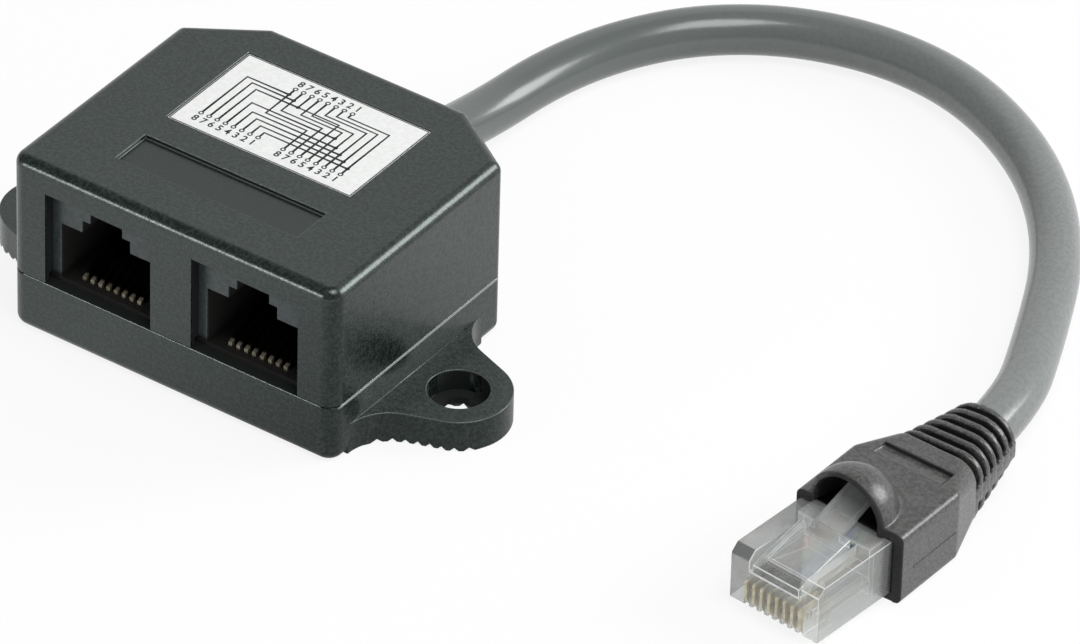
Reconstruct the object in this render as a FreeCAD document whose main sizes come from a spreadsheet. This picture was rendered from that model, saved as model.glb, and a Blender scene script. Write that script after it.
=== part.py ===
import FreeCAD, Part
import math
import os
import re
import Sketcher
from FreeCAD import Vector

# Two-way network splitter: a two-piece housing with two jacks, a short cable and a plug.
# Millimetres. Origin at the middle of the housing's underside, jacks facing -Y, cable at +Y.

DIMENSIONS = {
    # Housing
    "housing_width": 42.0,
    "housing_depth": 35.2,
    "housing_height": 21.9,
    "split_height": 7.0,
    "wall": 1.5,
    "corner_cut_x": 8.3,
    "corner_cut_y": 5.5,
    "front_round": 1.8,
    "rear_round": 1.0,
    "top_round": 1.3,
    "foot_round": 1.2,
    "tongue_height": 0.9,
    "parting_edge": 0.18,
    "fit_gap": 0.1,
    "window_width": 13.75,
    "window_drop": 3.35,
    # Recesses in the top
    "label_width": 23.8,
    "label_depth": 14.6,
    "label_y": 4.9,
    "label_sink": 0.3,
    "label_thick": 0.15,
    "panel_width": 23.4,
    "panel_depth": 5.2,
    "panel_y": -8.9,
    "panel_sink": 0.5,
    # Screw ears
    "ear_x": 26.5,
    "ear_y": -2.9,
    "ear_top": 3.75,
    "ear_round": 5.8,
    "ear_flare": 20.0,
    "ear_blend": 5.4,
    "screw_hole": 4.0,
    "screw_head": 6.7,
    "screw_seat": 1.2,
    "groove_count": 8,
    "groove_pitch": 1.22,
    "groove_depth": 0.42,
    # Board and its supports: depths are from the jacks' front, insets from the rear
    "board_thick": 1.6,
    "board_under": 3.7,
    "board_front": 0.3,
    "board_width": 37.6,
    "board_peg_gap": 1.0,
    "post_size": 4.0,
    "post_pin": 1.5,
    "post_depth": 4.1,
    "post_rear_x": 15.2,
    "post_inset": 2.4,
    # Closing pegs
    "peg_size": 3.0,
    "peg_x": 15.6,
    "peg_inset": 8.2,
    "peg_engage": 3.0,
    "peg_boss": 5.6,
    # Jacks
    "jack_pitch": 19.0,
    "jack_width": 15.2,
    "hold_rib": 1.9,
    "jack_depth": 15.4,
    "jack_floor": 2.2,
    "port_width": 11.7,
    "port_height": 6.95,
    "step_width": 6.2,
    "step_height": 1.5,
    "notch_width": 4.1,
    "notch_height": 1.7,
    "port_depth": 12.8,
    "jack_peg": 2.0,
    "jack_peg_x": 5.7,
    "jack_peg_depth": 7.1,
    "contact_pitch": 1.02,
    "contact_size": 0.46,
    "contact_front": 1.2,
    "contact_run_z": 6.1,
    "contact_nose_z": 7.75,
    "contact_reach": 10.5,
    "contact_tip_z": 11.1,
    "contact_tail": 12.9,
    "contact_row_step": 1.8,
    "contact_tail_z": 2.7,
    "slot_gap": 0.07,
    # Cable
    "cable_size": 5.6,
    "jacket_inset": 7.6,
    "clamp_inset": 5.0,
    "clamp_thick": 1.2,
    "clamp_width": 11.0,
    "tie_thick": 1.0,
    "tie_width": 1.45,
    "tie_head": 3.4,
    "tie_head_height": 2.7,
    "lead_size": 0.87,
    "lead_corners": 8,
    "lead_row": 0.7,
    "lead_gather": 0.62,
    "pad_pitch": 2.0,
    "pad_inset": 2.2,
    # Plug, in its own frame: front face at y = 0, underside at z = 0
    "plug_x": 72.7,
    "plug_y": -12.4,
    "plug_z": 1.0,
    "plug_turn": -6.2,
    "plug_width": 11.68,
    "plug_height": 6.6,
    "plug_length": 21.5,
    "plug_axis_z": 3.3,
    "nose_bevel": 0.45,
    "channel_width": 6.8,
    "channel_floor": 4.4,
    "channel_length": 8.7,
    "chamber_width": 9.6,
    "chamber_front": 9.2,
    "comb_floor": 1.75,
    "comb_front": 1.3,
    "blade_thick": 0.35,
    "blade_front": 0.35,
    "blade_back": 3.5,
    "blade_foot": 0.45,
    "blade_bevel": 0.4,
    "latch_width": 6.2,
    "lever_width": 3.25,
    "latch_thick": 1.0,
    "latch_grip": 0.8,
    "latch_root_y": 0.9,
    "shoulder_y": 8.1,
    "shoulder_z": 7.3,
    "lever_end_y": 14.6,
    "lever_end_z": 9.9,
    "jacket_end": 14.0,
    # Boot, in the plug's frame
    "boot_front": 11.1,
    "boot_width": 13.6,
    "boot_top": 7.7,
    "boot_straight": 20.9,
    "boot_neck": 25.9,
    "boot_neck_width": 11.0,
    "boot_edge": 0.8,
    "boot_skew": 3.5,
    "boot_pivot_y": 18.0,
    "hood_radius": 4.95,
    "hood_x": -0.2,
    "hood_wall": 0.6,
    "hood_inner_back": 3.6,
    "hood_y": 12.2,
    "hood_z": 7.2,
    "boot_panel_width": 8.8,
    "boot_panel_depth": 2.3,
    "boot_panel_y": 22.0,
    "boot_panel_sink": 0.35,
    "boot_bend_y": 24.0,
    "tail_length": 9.8,
    "tail_size": 7.9,
    "tail_slots": 5,
    "slot_pitch": 1.6,
    "upper_slot_start": 1.0,
    "lower_slot_start": 0.5,
    "slot_width": 0.75,
    "slot_floor": 0.75,
    "tail_spine": 2.2,
}

# Ways the cable goes, by hand: out of the back wall, down to the table, round and into the boot.
CABLE_ROUTE = [
    (0.0, 24.0, 7.0),
    (-0.6, 39.1, 2.9),
    (0.6, 50.6, 2.85),
    (3.9, 59.9, 2.85),
    (9.6, 67.8, 2.85),
    (18.4, 73.7, 2.85),
    (29.6, 76.3, 2.85),
    (41.0, 74.5, 2.85),
    (53.4, 67.3, 2.85),
    (63.2, 56.0, 2.85),
    (69.9, 41.4, 2.9),
    (74.4, 30.2, 3.5),
]

CONDUCTORS = range(8)
MIDDLE = (len(CONDUCTORS) - 1) / 2

# Places that follow from the sizes.
JACK_FRONT = "(-housing_depth/2 + wall)"
JACK_UNDER = "(board_under + board_thick)"
JACK_TOP = "(housing_height - wall - hold_rib)"
JACK_PEG_Y = f"({JACK_FRONT} + jack_peg_depth)"
PEG_Y = "(housing_depth/2 - peg_inset)"
CLAMP_Y = "(housing_depth/2 - clamp_inset)"
JACKET_Y = "(housing_depth/2 - jacket_inset)"
BOARD_BACK = f"({PEG_Y} - peg_boss/2 - board_peg_gap)"
CONTACT_FRONT = f"({JACK_FRONT} + contact_front)"

doc = FreeCAD.newDocument("network_splitter")
sheet = doc.addObject("Spreadsheet::Sheet", "Sizes")
for row, (alias, value) in enumerate(DIMENSIONS.items(), start=1):
    sheet.set(f"A{row}", alias.replace("_", " "))
    sheet.set(f"B{row}", str(value))
    sheet.setAlias(f"B{row}", alias)
doc.recompute()


def size(alias):
    """The number in one cell of the sheet."""
    return float(sheet.get(alias))


def formula(text):
    """The text with each of the sheet's names written as the document refers to it."""
    def refer(word):
        return "Sizes." + word.group(0) if word.group(0) in DIMENSIONS else word.group(0)
    return re.sub(r"[A-Za-z_]\w*", refer, text)


def bind(thing, field, text):
    thing.setExpression(field, formula(text))


def value(text):
    """The number that a formula gives now."""
    return float(sheet.evalExpression(formula(text)))


# Sketches

def new_body(name):
    body = doc.addObject("PartDesign::Body", name)
    body.Label = name
    return body


def new_sketch(body, name, role, height="0"):
    """A sketch on one of the body's origin planes, moved along the plane's normal."""
    sketch = body.newObject("Sketcher::SketchObject", name)
    origin_plane = next(item for item in body.Origin.OriginFeatures if item.Role == role)
    sketch.AttachmentSupport = [(origin_plane, "")]
    sketch.MapMode = "FlatFace"
    bind(sketch, "AttachmentOffset.Base.z", height)
    return sketch


def pin_point(sketch, line, corner, x, y, start):
    for kind, text, value in (("DistanceX", x, start.x), ("DistanceY", y, start.y)):
        index = sketch.addConstraint(Sketcher.Constraint(kind, -1, 1, line, corner, value))
        bind(sketch, f"Constraints[{index}]", text)


def draw_outline(sketch, corners, arcs):
    """A closed outline of lines, and of arcs of under half a turn, given as side: (radius, x, y)."""
    first = sketch.GeometryCount
    count = len(corners)
    points = [Vector(value(x), value(y), 0) for x, y in corners]
    heads = [1] * count
    for k in range(count):
        begin = points[k]
        end = points[(k + 1) % count]
        if k not in arcs:
            sketch.addGeometry(Part.LineSegment(begin, end), False)
            continue
        radius, x, y = arcs[k]
        centre = Vector(value(x), value(y), 0)
        angles = [math.atan2(point.y - centre.y, point.x - centre.x) for point in (begin, end)]
        if (angles[1] - angles[0]) % (2 * math.pi) > math.pi:
            angles.reverse()
            heads[k] = 2
        circle = Part.Circle(centre, Vector(0, 0, 1), value(radius))
        sketch.addGeometry(Part.ArcOfCircle(circle, *angles), False)
    for k in range(count):
        after = (k + 1) % count
        sketch.addConstraint(Sketcher.Constraint("Coincident", first + k, 3 - heads[k],
                                                 first + after, heads[after]))
    for k, (x, y) in enumerate(corners):
        pin_point(sketch, first + k, heads[k], x, y, points[k])
    for k, (radius, x, y) in arcs.items():
        number = sketch.addConstraint(Sketcher.Constraint("Radius", first + k, value(radius)))
        bind(sketch, f"Constraints[{number}]", radius)


def draw_polygon(sketch, corners):
    """A closed outline of straight sides, whose corners are pairs of formulas."""
    draw_outline(sketch, corners, {})


def draw_rectangle(sketch, left, right, low, high):
    draw_polygon(sketch, [(left, low), (right, low), (right, high), (left, high)])


def draw_circle(sketch, x, y, radius):
    index = sketch.addGeometry(Part.Circle(Vector(0, 0, 0), Vector(0, 0, 1), 1.0), False)
    number = sketch.addConstraint(Sketcher.Constraint("Radius", index, 1.0))
    bind(sketch, f"Constraints[{number}]", radius)
    pin_point(sketch, index, 3, x, y, Vector(0, 0, 0))


# Features

def pad(body, sketch, length):
    feature = body.newObject("PartDesign::Pad", sketch.Name + "_pad")
    feature.Profile = sketch
    bind(feature, "Length", length)
    sketch.Visibility = False
    return feature


def pocket(body, sketch, length):
    """Cuts against the sketch's normal."""
    doc.recompute()
    before = body.Shape.Volume
    feature = body.newObject("PartDesign::Pocket", sketch.Name + "_pocket")
    feature.Profile = sketch
    bind(feature, "Length", length)
    doc.recompute()
    if body.Shape.Volume > before - 1e-6:
        raise RuntimeError(sketch.Name + " cuts nothing")
    return feature


def ease_edges(body, kind, field, name, amount, chosen):
    """Eases the body's edges whose middle and direction the test accepts."""
    doc.recompute()
    names = []
    for number, edge in enumerate(body.Shape.Edges, start=1):
        if edge.Degenerated:
            continue
        middle = edge.valueAt((edge.FirstParameter + edge.LastParameter) / 2)
        along = edge.tangentAt((edge.FirstParameter + edge.LastParameter) / 2)
        if chosen(middle, along):
            names.append(f"Edge{number}")
    carrier = body.Tip
    feature = body.newObject(kind, name)
    feature.Base = (carrier, names)
    bind(feature, field, amount)
    doc.recompute()


def round_edges(body, name, radius, chosen):
    ease_edges(body, "PartDesign::Fillet", "Radius", name, radius, chosen)


def bevel_edges(body, name, width, chosen):
    ease_edges(body, "PartDesign::Chamfer", "Size", name, width, chosen)


def upright(along):
    return abs(along.z) > 0.99


# Housing

def housing_outline(inset):
    """The plan of the housing, moved in by one distance all round: two rear corners are cut."""
    slope = "sqrt(corner_cut_x^2 + corner_cut_y^2)"
    right = f"(housing_width/2 - {inset})"
    back = f"(housing_depth/2 - {inset})"
    side_end = f"(housing_depth/2 - corner_cut_y - {inset}*({slope} - corner_cut_y)/corner_cut_x)"
    back_end = f"(housing_width/2 - corner_cut_x - {inset}*({slope} - corner_cut_x)/corner_cut_y)"
    return [
        (f"-{right}", f"-{back}"),
        (right, f"-{back}"),
        (right, side_end),
        (back_end, back),
        (f"-{back_end}", back),
        (f"-{right}", side_end),
    ]


def round_upright_corners(body):
    front = -size("housing_depth") / 2
    back = size("housing_depth") / 2
    round_edges(body, body.Name + "_front_corners", "front_round",
                lambda middle, along: upright(along) and middle.y < front + 0.01)
    round_edges(body, body.Name + "_rear_corners", "rear_round",
                lambda middle, along: upright(along) and middle.y > back - size("corner_cut_y") - 0.01)


def cut_cable_way(body):
    """The round hole for the jacket, through the clamp rib and the back wall."""
    sketch = new_sketch(body, body.Name + "_cable_way", "XZ_Plane", f"-({CLAMP_Y} - clamp_thick)")
    draw_circle(sketch, "0", "split_height", "cable_size/2 + fit_gap/2")
    pocket(body, sketch, "clamp_inset + 2*clamp_thick")


def make_upper_shell():
    body = new_body("upper_shell")
    outline = new_sketch(body, "upper_outline", "XY_Plane", "split_height")
    draw_polygon(outline, housing_outline("0"))
    pad(body, outline, "housing_height - split_height")
    round_upright_corners(body)
    top = size("housing_height")
    round_edges(body, "upper_top_edge", "top_round",
                lambda middle, along: middle.z > top - 0.01)
    split = size("split_height")
    bevel_edges(body, "upper_parting_edge", "parting_edge",
                lambda middle, along: abs(middle.z - split) < 0.01)

    hollow = new_sketch(body, "upper_hollow", "XY_Plane", "housing_height - wall")
    draw_polygon(hollow, housing_outline("wall"))
    pocket(body, hollow, "housing_height - wall - split_height")

    # The lower shell's tongue slides in behind the outer half of this wall.
    rebate = new_sketch(body, "upper_rebate", "XY_Plane", "split_height + tongue_height + fit_gap")
    draw_polygon(rebate, housing_outline("(wall/2 - fit_gap/2)"))
    pocket(body, rebate, "tongue_height + fit_gap")

    windows = new_sketch(body, "upper_windows", "XZ_Plane", "housing_depth/2")
    for side in ("-1", "1"):
        left = f"({side}*jack_pitch/2 - window_width/2)"
        right = f"({side}*jack_pitch/2 + window_width/2)"
        draw_rectangle(windows, left, right, "split_height - wall", "housing_height - window_drop")
    pocket(body, windows, "wall + fit_gap")

    label = new_sketch(body, "label_recess", "XY_Plane", "housing_height")
    draw_rectangle(label, "-label_width/2", "label_width/2",
                   "label_y - label_depth/2", "label_y + label_depth/2")
    pocket(body, label, "label_sink")
    panel = new_sketch(body, "panel_recess", "XY_Plane", "housing_height")
    draw_rectangle(panel, "-panel_width/2", "panel_width/2",
                   "panel_y - panel_depth/2", "panel_y + panel_depth/2")
    pocket(body, panel, "panel_sink")

    # Ribs that hold the jacks down, reaching from the ceiling to just above them.
    for side, word in (("-1", "left"), ("1", "right")):
        rib = new_sketch(body, word + "_hold_rib", "XY_Plane", f"{JACK_TOP} + fit_gap")
        middle = f"{side}*jack_pitch/2"
        draw_rectangle(rib, f"({middle} - step_width/2)", f"({middle} + step_width/2)",
                       f"({JACK_PEG_Y} - wall/2)", f"({JACK_PEG_Y} + wall/2)")
        pad(body, rib, "hold_rib - fit_gap")

    clamp = new_sketch(body, "upper_clamp", "XY_Plane", "split_height")
    draw_rectangle(clamp, "-clamp_width/2", "clamp_width/2",
                   f"({CLAMP_Y} - clamp_thick/2)", f"({CLAMP_Y} + clamp_thick/2)")
    pad(body, clamp, "housing_height - wall - split_height")
    cut_cable_way(body)

    for side, word in (("-1", "left"), ("1", "right")):
        peg = new_sketch(body, word + "_peg", "XY_Plane", "split_height - peg_engage")
        draw_circle(peg, f"{side}*peg_x", PEG_Y, "peg_size/2")
        pad(body, peg, "housing_height - wall - split_height + peg_engage")
    return body


def make_ears(body):
    """A screw ear on each side: it leaves the wall in two hollow curves and has a round end."""
    flare = "ear_flare*1deg"
    end_x = f"(ear_x + ear_round*sin({flare}))"
    end_y = f"(ear_round*cos({flare}))"
    wall_y = f"({end_y} + ({end_x} - housing_width/2)*tan({flare}))"
    run = f"(ear_blend/tan(45deg + {flare}/2))"
    blend_y = f"({wall_y} + {run})"
    leave_x = f"(housing_width/2 + {run}*cos({flare}))"
    leave_y = f"({wall_y} - {run}*sin({flare}))"
    root_x = "(housing_width/2 - 2*foot_round)"
    blend_x = "(housing_width/2 + ear_blend)"
    for side, word in (("-1", "left"), ("1", "right")):
        ear = new_sketch(body, word + "_ear", "XY_Plane")
        draw_outline(ear, [
            (f"{side}*{root_x}", f"(ear_y - {blend_y})"),
            (f"{side}*housing_width/2", f"(ear_y - {blend_y})"),
            (f"{side}*{leave_x}", f"(ear_y - {leave_y})"),
            (f"{side}*{end_x}", f"(ear_y - {end_y})"),
            (f"{side}*{end_x}", f"(ear_y + {end_y})"),
            (f"{side}*{leave_x}", f"(ear_y + {leave_y})"),
            (f"{side}*housing_width/2", f"(ear_y + {blend_y})"),
            (f"{side}*{root_x}", f"(ear_y + {blend_y})"),
        ], {
            1: ("ear_blend", f"{side}*{blend_x}", f"(ear_y - {blend_y})"),
            3: ("ear_round", f"{side}*ear_x", "ear_y"),
            5: ("ear_blend", f"{side}*{blend_x}", f"(ear_y + {blend_y})"),
        })
        pad(body, ear, "ear_top")

        # The screw's hole, and a wider seat for its head.
        hole = new_sketch(body, word + "_screw_hole", "XY_Plane", "ear_top")
        draw_circle(hole, f"{side}*ear_x", "ear_y", "screw_hole/2")
        pocket(body, hole, "ear_top")
        head = new_sketch(body, word + "_screw_head", "XY_Plane", "ear_top")
        draw_circle(head, f"{side}*ear_x", "ear_y", "screw_head/2")
        pocket(body, head, "ear_top - screw_seat")

    # V grooves across the underside, for grip.
    grooves = new_sketch(body, "ear_grooves", "XZ_Plane", "-(ear_y - 2*ear_round)")
    for side in ("-1", "1"):
        for step in range(int(size("groove_count"))):
            middle = f"{side}*(housing_width/2 + groove_pitch*{step + 1})"
            draw_polygon(grooves, [
                (f"({middle} - groove_pitch/2 + fit_gap)", "-fit_gap"),
                (f"({middle} + groove_pitch/2 - fit_gap)", "-fit_gap"),
                (f"{middle}", "groove_depth"),
            ])
    pocket(body, grooves, "4*ear_round")


def make_lower_shell():
    body = new_body("lower_shell")
    outline = new_sketch(body, "lower_outline", "XY_Plane")
    draw_polygon(outline, housing_outline("0"))
    pad(body, outline, "split_height")
    round_upright_corners(body)
    round_edges(body, "lower_foot_edge", "foot_round",
                lambda middle, along: middle.z < 0.01)
    split = size("split_height")
    bevel_edges(body, "lower_parting_edge", "parting_edge",
                lambda middle, along: abs(middle.z - split) < 0.01)
    make_ears(body)

    hollow = new_sketch(body, "lower_hollow", "XY_Plane", "split_height")
    draw_polygon(hollow, housing_outline("wall"))
    pocket(body, hollow, "split_height - wall")

    # A tongue on the inner half of the wall, left out along the front where the jacks are.
    tongue = new_sketch(body, "tongue", "XY_Plane", "split_height")
    draw_polygon(tongue, housing_outline("(wall/2 + fit_gap/2)"))
    draw_polygon(tongue, housing_outline("wall"))
    pad(body, tongue, "tongue_height")
    front_gap = new_sketch(body, "tongue_front_gap", "XY_Plane", "split_height + tongue_height")
    draw_rectangle(front_gap, "-housing_width/2", "housing_width/2",
                   "-housing_depth/2", "(-housing_depth/2 + 3*wall)")
    pocket(body, front_gap, "tongue_height")

    # Posts under the board, with locating pins, and bosses for the closing pegs.
    posts = new_sketch(body, "board_posts", "XY_Plane", "wall")
    pins = new_sketch(body, "board_pins", "XY_Plane", "wall")
    for x, y in post_places():
        draw_circle(posts, x, y, "post_size/2")
        draw_circle(pins, x, y, "post_pin/2")
    pad(body, posts, "board_under - wall")
    pad(body, pins, "board_under + board_thick - wall")
    bosses = new_sketch(body, "peg_bosses", "XY_Plane", "wall")
    holes = new_sketch(body, "peg_holes", "XY_Plane", "split_height")
    for side in ("-1", "1"):
        draw_circle(bosses, f"{side}*peg_x", PEG_Y, "peg_boss/2")
        draw_circle(holes, f"{side}*peg_x", PEG_Y, "peg_size/2 + fit_gap/2")
    pad(body, bosses, "split_height - wall")
    pocket(body, holes, "peg_engage + fit_gap")

    clamp = new_sketch(body, "lower_clamp", "XY_Plane", "wall")
    draw_rectangle(clamp, "-clamp_width/2", "clamp_width/2",
                   f"({CLAMP_Y} - clamp_thick/2)", f"({CLAMP_Y} + clamp_thick/2)")
    pad(body, clamp, "split_height - wall")
    cut_cable_way(body)
    return body


def post_places():
    rear = f"({BOARD_BACK} - post_inset)"
    return [("0", f"({JACK_FRONT} + post_depth)"), ("-post_rear_x", rear), ("post_rear_x", rear)]


def make_label():
    body = new_body("label")
    sketch = new_sketch(body, "label_outline", "XY_Plane", "housing_height - label_sink")
    draw_rectangle(sketch, "(-label_width/2 + fit_gap)", "(label_width/2 - fit_gap)",
                   "(label_y - label_depth/2 + fit_gap)", "(label_y + label_depth/2 - fit_gap)")
    pad(body, sketch, "label_thick")
    return body


# Board and jacks

def contact_x(side, index):
    return f"({side}*jack_pitch/2 + {index - MIDDLE}*contact_pitch)"


def contact_tail(index):
    return f"({JACK_FRONT} + contact_tail + {index % 2}*contact_row_step)"


def make_board():
    body = new_body("circuit_board")
    sketch = new_sketch(body, "board_outline", "XY_Plane", "board_under")
    draw_rectangle(sketch, "-board_width/2", "board_width/2",
                   f"({JACK_FRONT} + board_front)", BOARD_BACK)
    pad(body, sketch, "board_thick")
    holes = new_sketch(body, "board_holes", "XY_Plane", "board_under + board_thick")
    half = "(contact_size/2 + fit_gap)"
    for x, y in post_places():
        draw_circle(holes, x, y, "post_pin/2 + fit_gap/2")
    for side in ("-1", "1"):
        for peg_side in ("-1", "1"):
            draw_circle(holes, f"({side}*jack_pitch/2 + {peg_side}*jack_peg_x)", JACK_PEG_Y,
                        "jack_peg/2 + fit_gap/2")
        for index in CONDUCTORS:
            x = contact_x(side, index)
            y = contact_tail(index)
            draw_rectangle(holes, f"({x} - {half})", f"({x} + {half})",
                           f"({y} - {half})", f"({y} + {half})")
    pocket(body, holes, "board_thick")
    return body


def make_jack(word, side):
    """A jack's moulded body: the stepped port opens to the front, with a comb of slots in its floor."""
    body = new_body(word + "_socket_body")
    front = f"(-{JACK_FRONT})"
    middle = f"({side}*jack_pitch/2)"
    outline = new_sketch(body, word + "_jack_outline", "XZ_Plane", front)
    draw_rectangle(outline, f"({middle} - jack_width/2)", f"({middle} + jack_width/2)",
                   JACK_UNDER, JACK_TOP)
    block = pad(body, outline, "jack_depth")
    block.Reversed = True

    port = new_sketch(body, word + "_port", "XZ_Plane", front)
    floor = f"({JACK_UNDER} + jack_floor)"
    first = f"({floor} + port_height)"
    second = f"({first} + step_height)"
    third = f"({second} + notch_height)"
    draw_polygon(port, [
        (f"({middle} - port_width/2)", floor),
        (f"({middle} + port_width/2)", floor),
        (f"({middle} + port_width/2)", first),
        (f"({middle} + step_width/2)", first),
        (f"({middle} + step_width/2)", second),
        (f"({middle} + notch_width/2)", second),
        (f"({middle} + notch_width/2)", third),
        (f"({middle} - notch_width/2)", third),
        (f"({middle} - notch_width/2)", second),
        (f"({middle} - step_width/2)", second),
        (f"({middle} - step_width/2)", first),
        (f"({middle} - port_width/2)", first),
    ])
    pocket(body, port, "port_depth")

    comb = new_sketch(body, word + "_comb", "XY_Plane", floor)
    half = "(contact_size/2 + slot_gap)"
    for index in CONDUCTORS:
        x = contact_x(side, index)
        draw_rectangle(comb, f"({x} - {half})", f"({x} + {half})",
                       f"({CONTACT_FRONT} - contact_size/2 - slot_gap)",
                       f"({contact_tail(index)} + contact_size/2 + slot_gap)")
    pocket(body, comb, "jack_floor")

    pegs = new_sketch(body, word + "_jack_pegs", "XY_Plane", "board_under")
    for peg_side in ("-1", "1"):
        draw_circle(pegs, f"({middle} + {peg_side}*jack_peg_x)", JACK_PEG_Y, "jack_peg/2")
    pad(body, pegs, "board_thick")
    return body


def make_contact(word, side, index):
    """A spring contact: tail through the board, run forward under the port, sprung leaf back up."""
    name = f"{word}_socket_contact_{index + 1}"
    body = new_body(name)
    x = contact_x(side, index)
    tail_y = contact_tail(index)
    route = new_sketch(body, name + "_route", "YZ_Plane", x)
    stops = [
        (tail_y, "contact_tail_z"),
        (tail_y, "contact_run_z"),
        (CONTACT_FRONT, "contact_run_z"),
        (CONTACT_FRONT, "contact_nose_z"),
        (f"({JACK_FRONT} + contact_reach)", "contact_tip_z"),
    ]
    starts = [Vector(value(y), value(z), 0) for y, z in stops]
    for k in range(len(stops) - 1):
        route.addGeometry(Part.LineSegment(starts[k], starts[k + 1]), False)
        if k:
            route.addConstraint(Sketcher.Constraint("Coincident", k - 1, 2, k, 1))
        pin_point(route, k, 1, stops[k][0], stops[k][1], starts[k])
    last = len(stops) - 2
    pin_point(route, last, 2, stops[-1][0], stops[-1][1], starts[-1])
    section = new_sketch(body, name + "_section", "XY_Plane", "contact_tail_z")
    draw_rectangle(section, f"({x} - contact_size/2)", f"({x} + contact_size/2)",
                   f"({tail_y} - contact_size/2)", f"({tail_y} + contact_size/2)")
    sweep = body.newObject("PartDesign::AdditivePipe", name + "_sweep")
    sweep.Profile = section
    doc.recompute()
    sweep.Spine = (route, [f"Edge{k + 1}" for k in range(len(stops) - 1)])
    sweep.Transition = "Right corner"
    return body


# Cable and its leads

def bent_run(points):
    """Straight runs joined by arcs that touch them, each as large as its two runs allow."""
    corners = [Vector(*point) for point in points]
    edges = []
    radii = []
    here = corners[0]
    for before, corner, after in zip(corners, corners[1:], corners[2:]):
        come = (corner - before).normalize()
        leave = (after - corner).normalize()
        turn = come.getAngle(leave)
        reach = 0.45 * min((corner - before).Length, (after - corner).Length)
        radii.append(reach / math.tan(turn / 2))
        start = corner - come * reach
        end = corner + leave * reach
        inward = (leave - come).normalize()
        sagitta = radii[-1] * (1 / math.cos(turn / 2) - 1)
        edges.append(Part.LineSegment(here, start).toShape())
        edges.append(Part.Arc(start, corner + inward * sagitta, end).toShape())
        here = end
    edges.append(Part.LineSegment(here, corners[-1]).toShape())
    return Part.Wire(edges), radii


def sweep_round(points, diameter):
    path, radii = bent_run(points)
    start = Vector(*points[0])
    ring = Part.Wire(Part.Circle(start, path.Edges[0].tangentAt(path.Edges[0].FirstParameter),
                                 diameter / 2).toShape())
    return path.makePipeShell([ring], True, False), path, radii


def sweep_lead(points):
    """A conductor of flat-sided section, mitred where it turns."""
    heading = Vector(*points[1]) - Vector(*points[0])
    turn = FreeCAD.Rotation(Vector(0, 0, 1), heading)
    count = int(size("lead_corners"))
    ring = []
    for k in range(count + 1):
        angle = 2 * math.pi * (k + 0.5) / count
        spoke = Vector(math.cos(angle), math.sin(angle), 0) * (size("lead_size") / 2)
        ring.append(Vector(*points[0]) + turn.multVec(spoke))
    path = Part.makePolygon([Vector(*point) for point in points])
    return path.makePipeShell([Part.makePolygon(ring)], True, False, 1)


def new_feature(name, shape, placement=None):
    feature = doc.addObject("Part::Feature", name)
    feature.Label = name
    feature.Shape = shape
    if placement is not None:
        feature.Placement = placement
    return feature


def plug_placement():
    place = Vector(size("plug_x"), size("plug_y"), size("plug_z"))
    return FreeCAD.Placement(place, FreeCAD.Rotation(Vector(0, 0, 1), size("plug_turn")))


def plug_point(x, y, z):
    """A point of the plug's frame, in the part's frame."""
    return plug_placement().multVec(Vector(x, y, z))


def cable_points():
    """The whole route: from the clamp, along the points chosen by hand, to the plug's chamber."""
    start = (0.0, value(JACKET_Y), size("split_height"))
    bend = plug_point(0, size("boot_bend_y"), size("plug_axis_z"))
    end = plug_point(0, size("jacket_end"), size("plug_axis_z"))
    return [start] + CABLE_ROUTE + [tuple(bend), tuple(end)]


def make_cable():
    points = cable_points()
    solid, path, radii = sweep_round(points, size("cable_size"))
    expected = path.Length * math.pi * size("cable_size") ** 2 / 4
    runs = [(Vector(*b) - Vector(*a)).Length for a, b in zip(points, points[1:])]
    print("cable runs", [round(run, 1) for run in runs])
    print("cable radii", [round(radius, 1) for radius in radii])
    print("cable length", round(path.Length, 1), "volume ratio", round(solid.Volume / expected, 4))
    return new_feature("cable", solid)


def lead_place(index):
    """Where a conductor leaves the jacket's end: two rows of four, lying close together."""
    across = (index - MIDDLE) * size("contact_pitch") * size("lead_gather")
    above = size("lead_row") * (1 if index % 2 else -1)
    return across, above


def make_board_lead(index):
    """A conductor from the jacket's end to its pad on the board."""
    across, above = lead_place(index)
    board_top = size("board_under") + size("board_thick")
    pad_x = (index - MIDDLE) * size("pad_pitch")
    jacket = value(JACKET_Y)
    pad_y = value(BOARD_BACK) - size("pad_inset")
    height = size("split_height") + above
    points = [
        (across, jacket, height),
        (across, jacket - 2 * size("lead_size"), height),
        (pad_x, pad_y, board_top + 1.4 * size("lead_size")),
        (pad_x, pad_y, board_top),
    ]
    return new_feature(f"board_lead_{index + 1}", sweep_lead(points))


def make_cable_tie():
    """A tie drawn tight round the jacket just inside the clamp rib, its head on top."""
    body = new_body("cable_tie")
    back = f"-({CLAMP_Y} - clamp_thick/2 - fit_gap)"
    ring = new_sketch(body, "tie_ring", "XZ_Plane", back)
    draw_circle(ring, "0", "split_height", "cable_size/2 + tie_thick")
    draw_circle(ring, "0", "split_height", "cable_size/2 + fit_gap/2")
    pad(body, ring, "tie_width")
    head = new_sketch(body, "tie_head_outline", "XZ_Plane", back)
    draw_rectangle(head, "-tie_head/2", "tie_head/2",
                   "(split_height + cable_size/2 + tie_thick/2)",
                   "(split_height + cable_size/2 + tie_thick/2 + tie_head_height)")
    pad(body, head, "tie_width")
    return body


# Plug

def comb_x(index):
    return f"({index - MIDDLE}*contact_pitch)"


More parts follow.
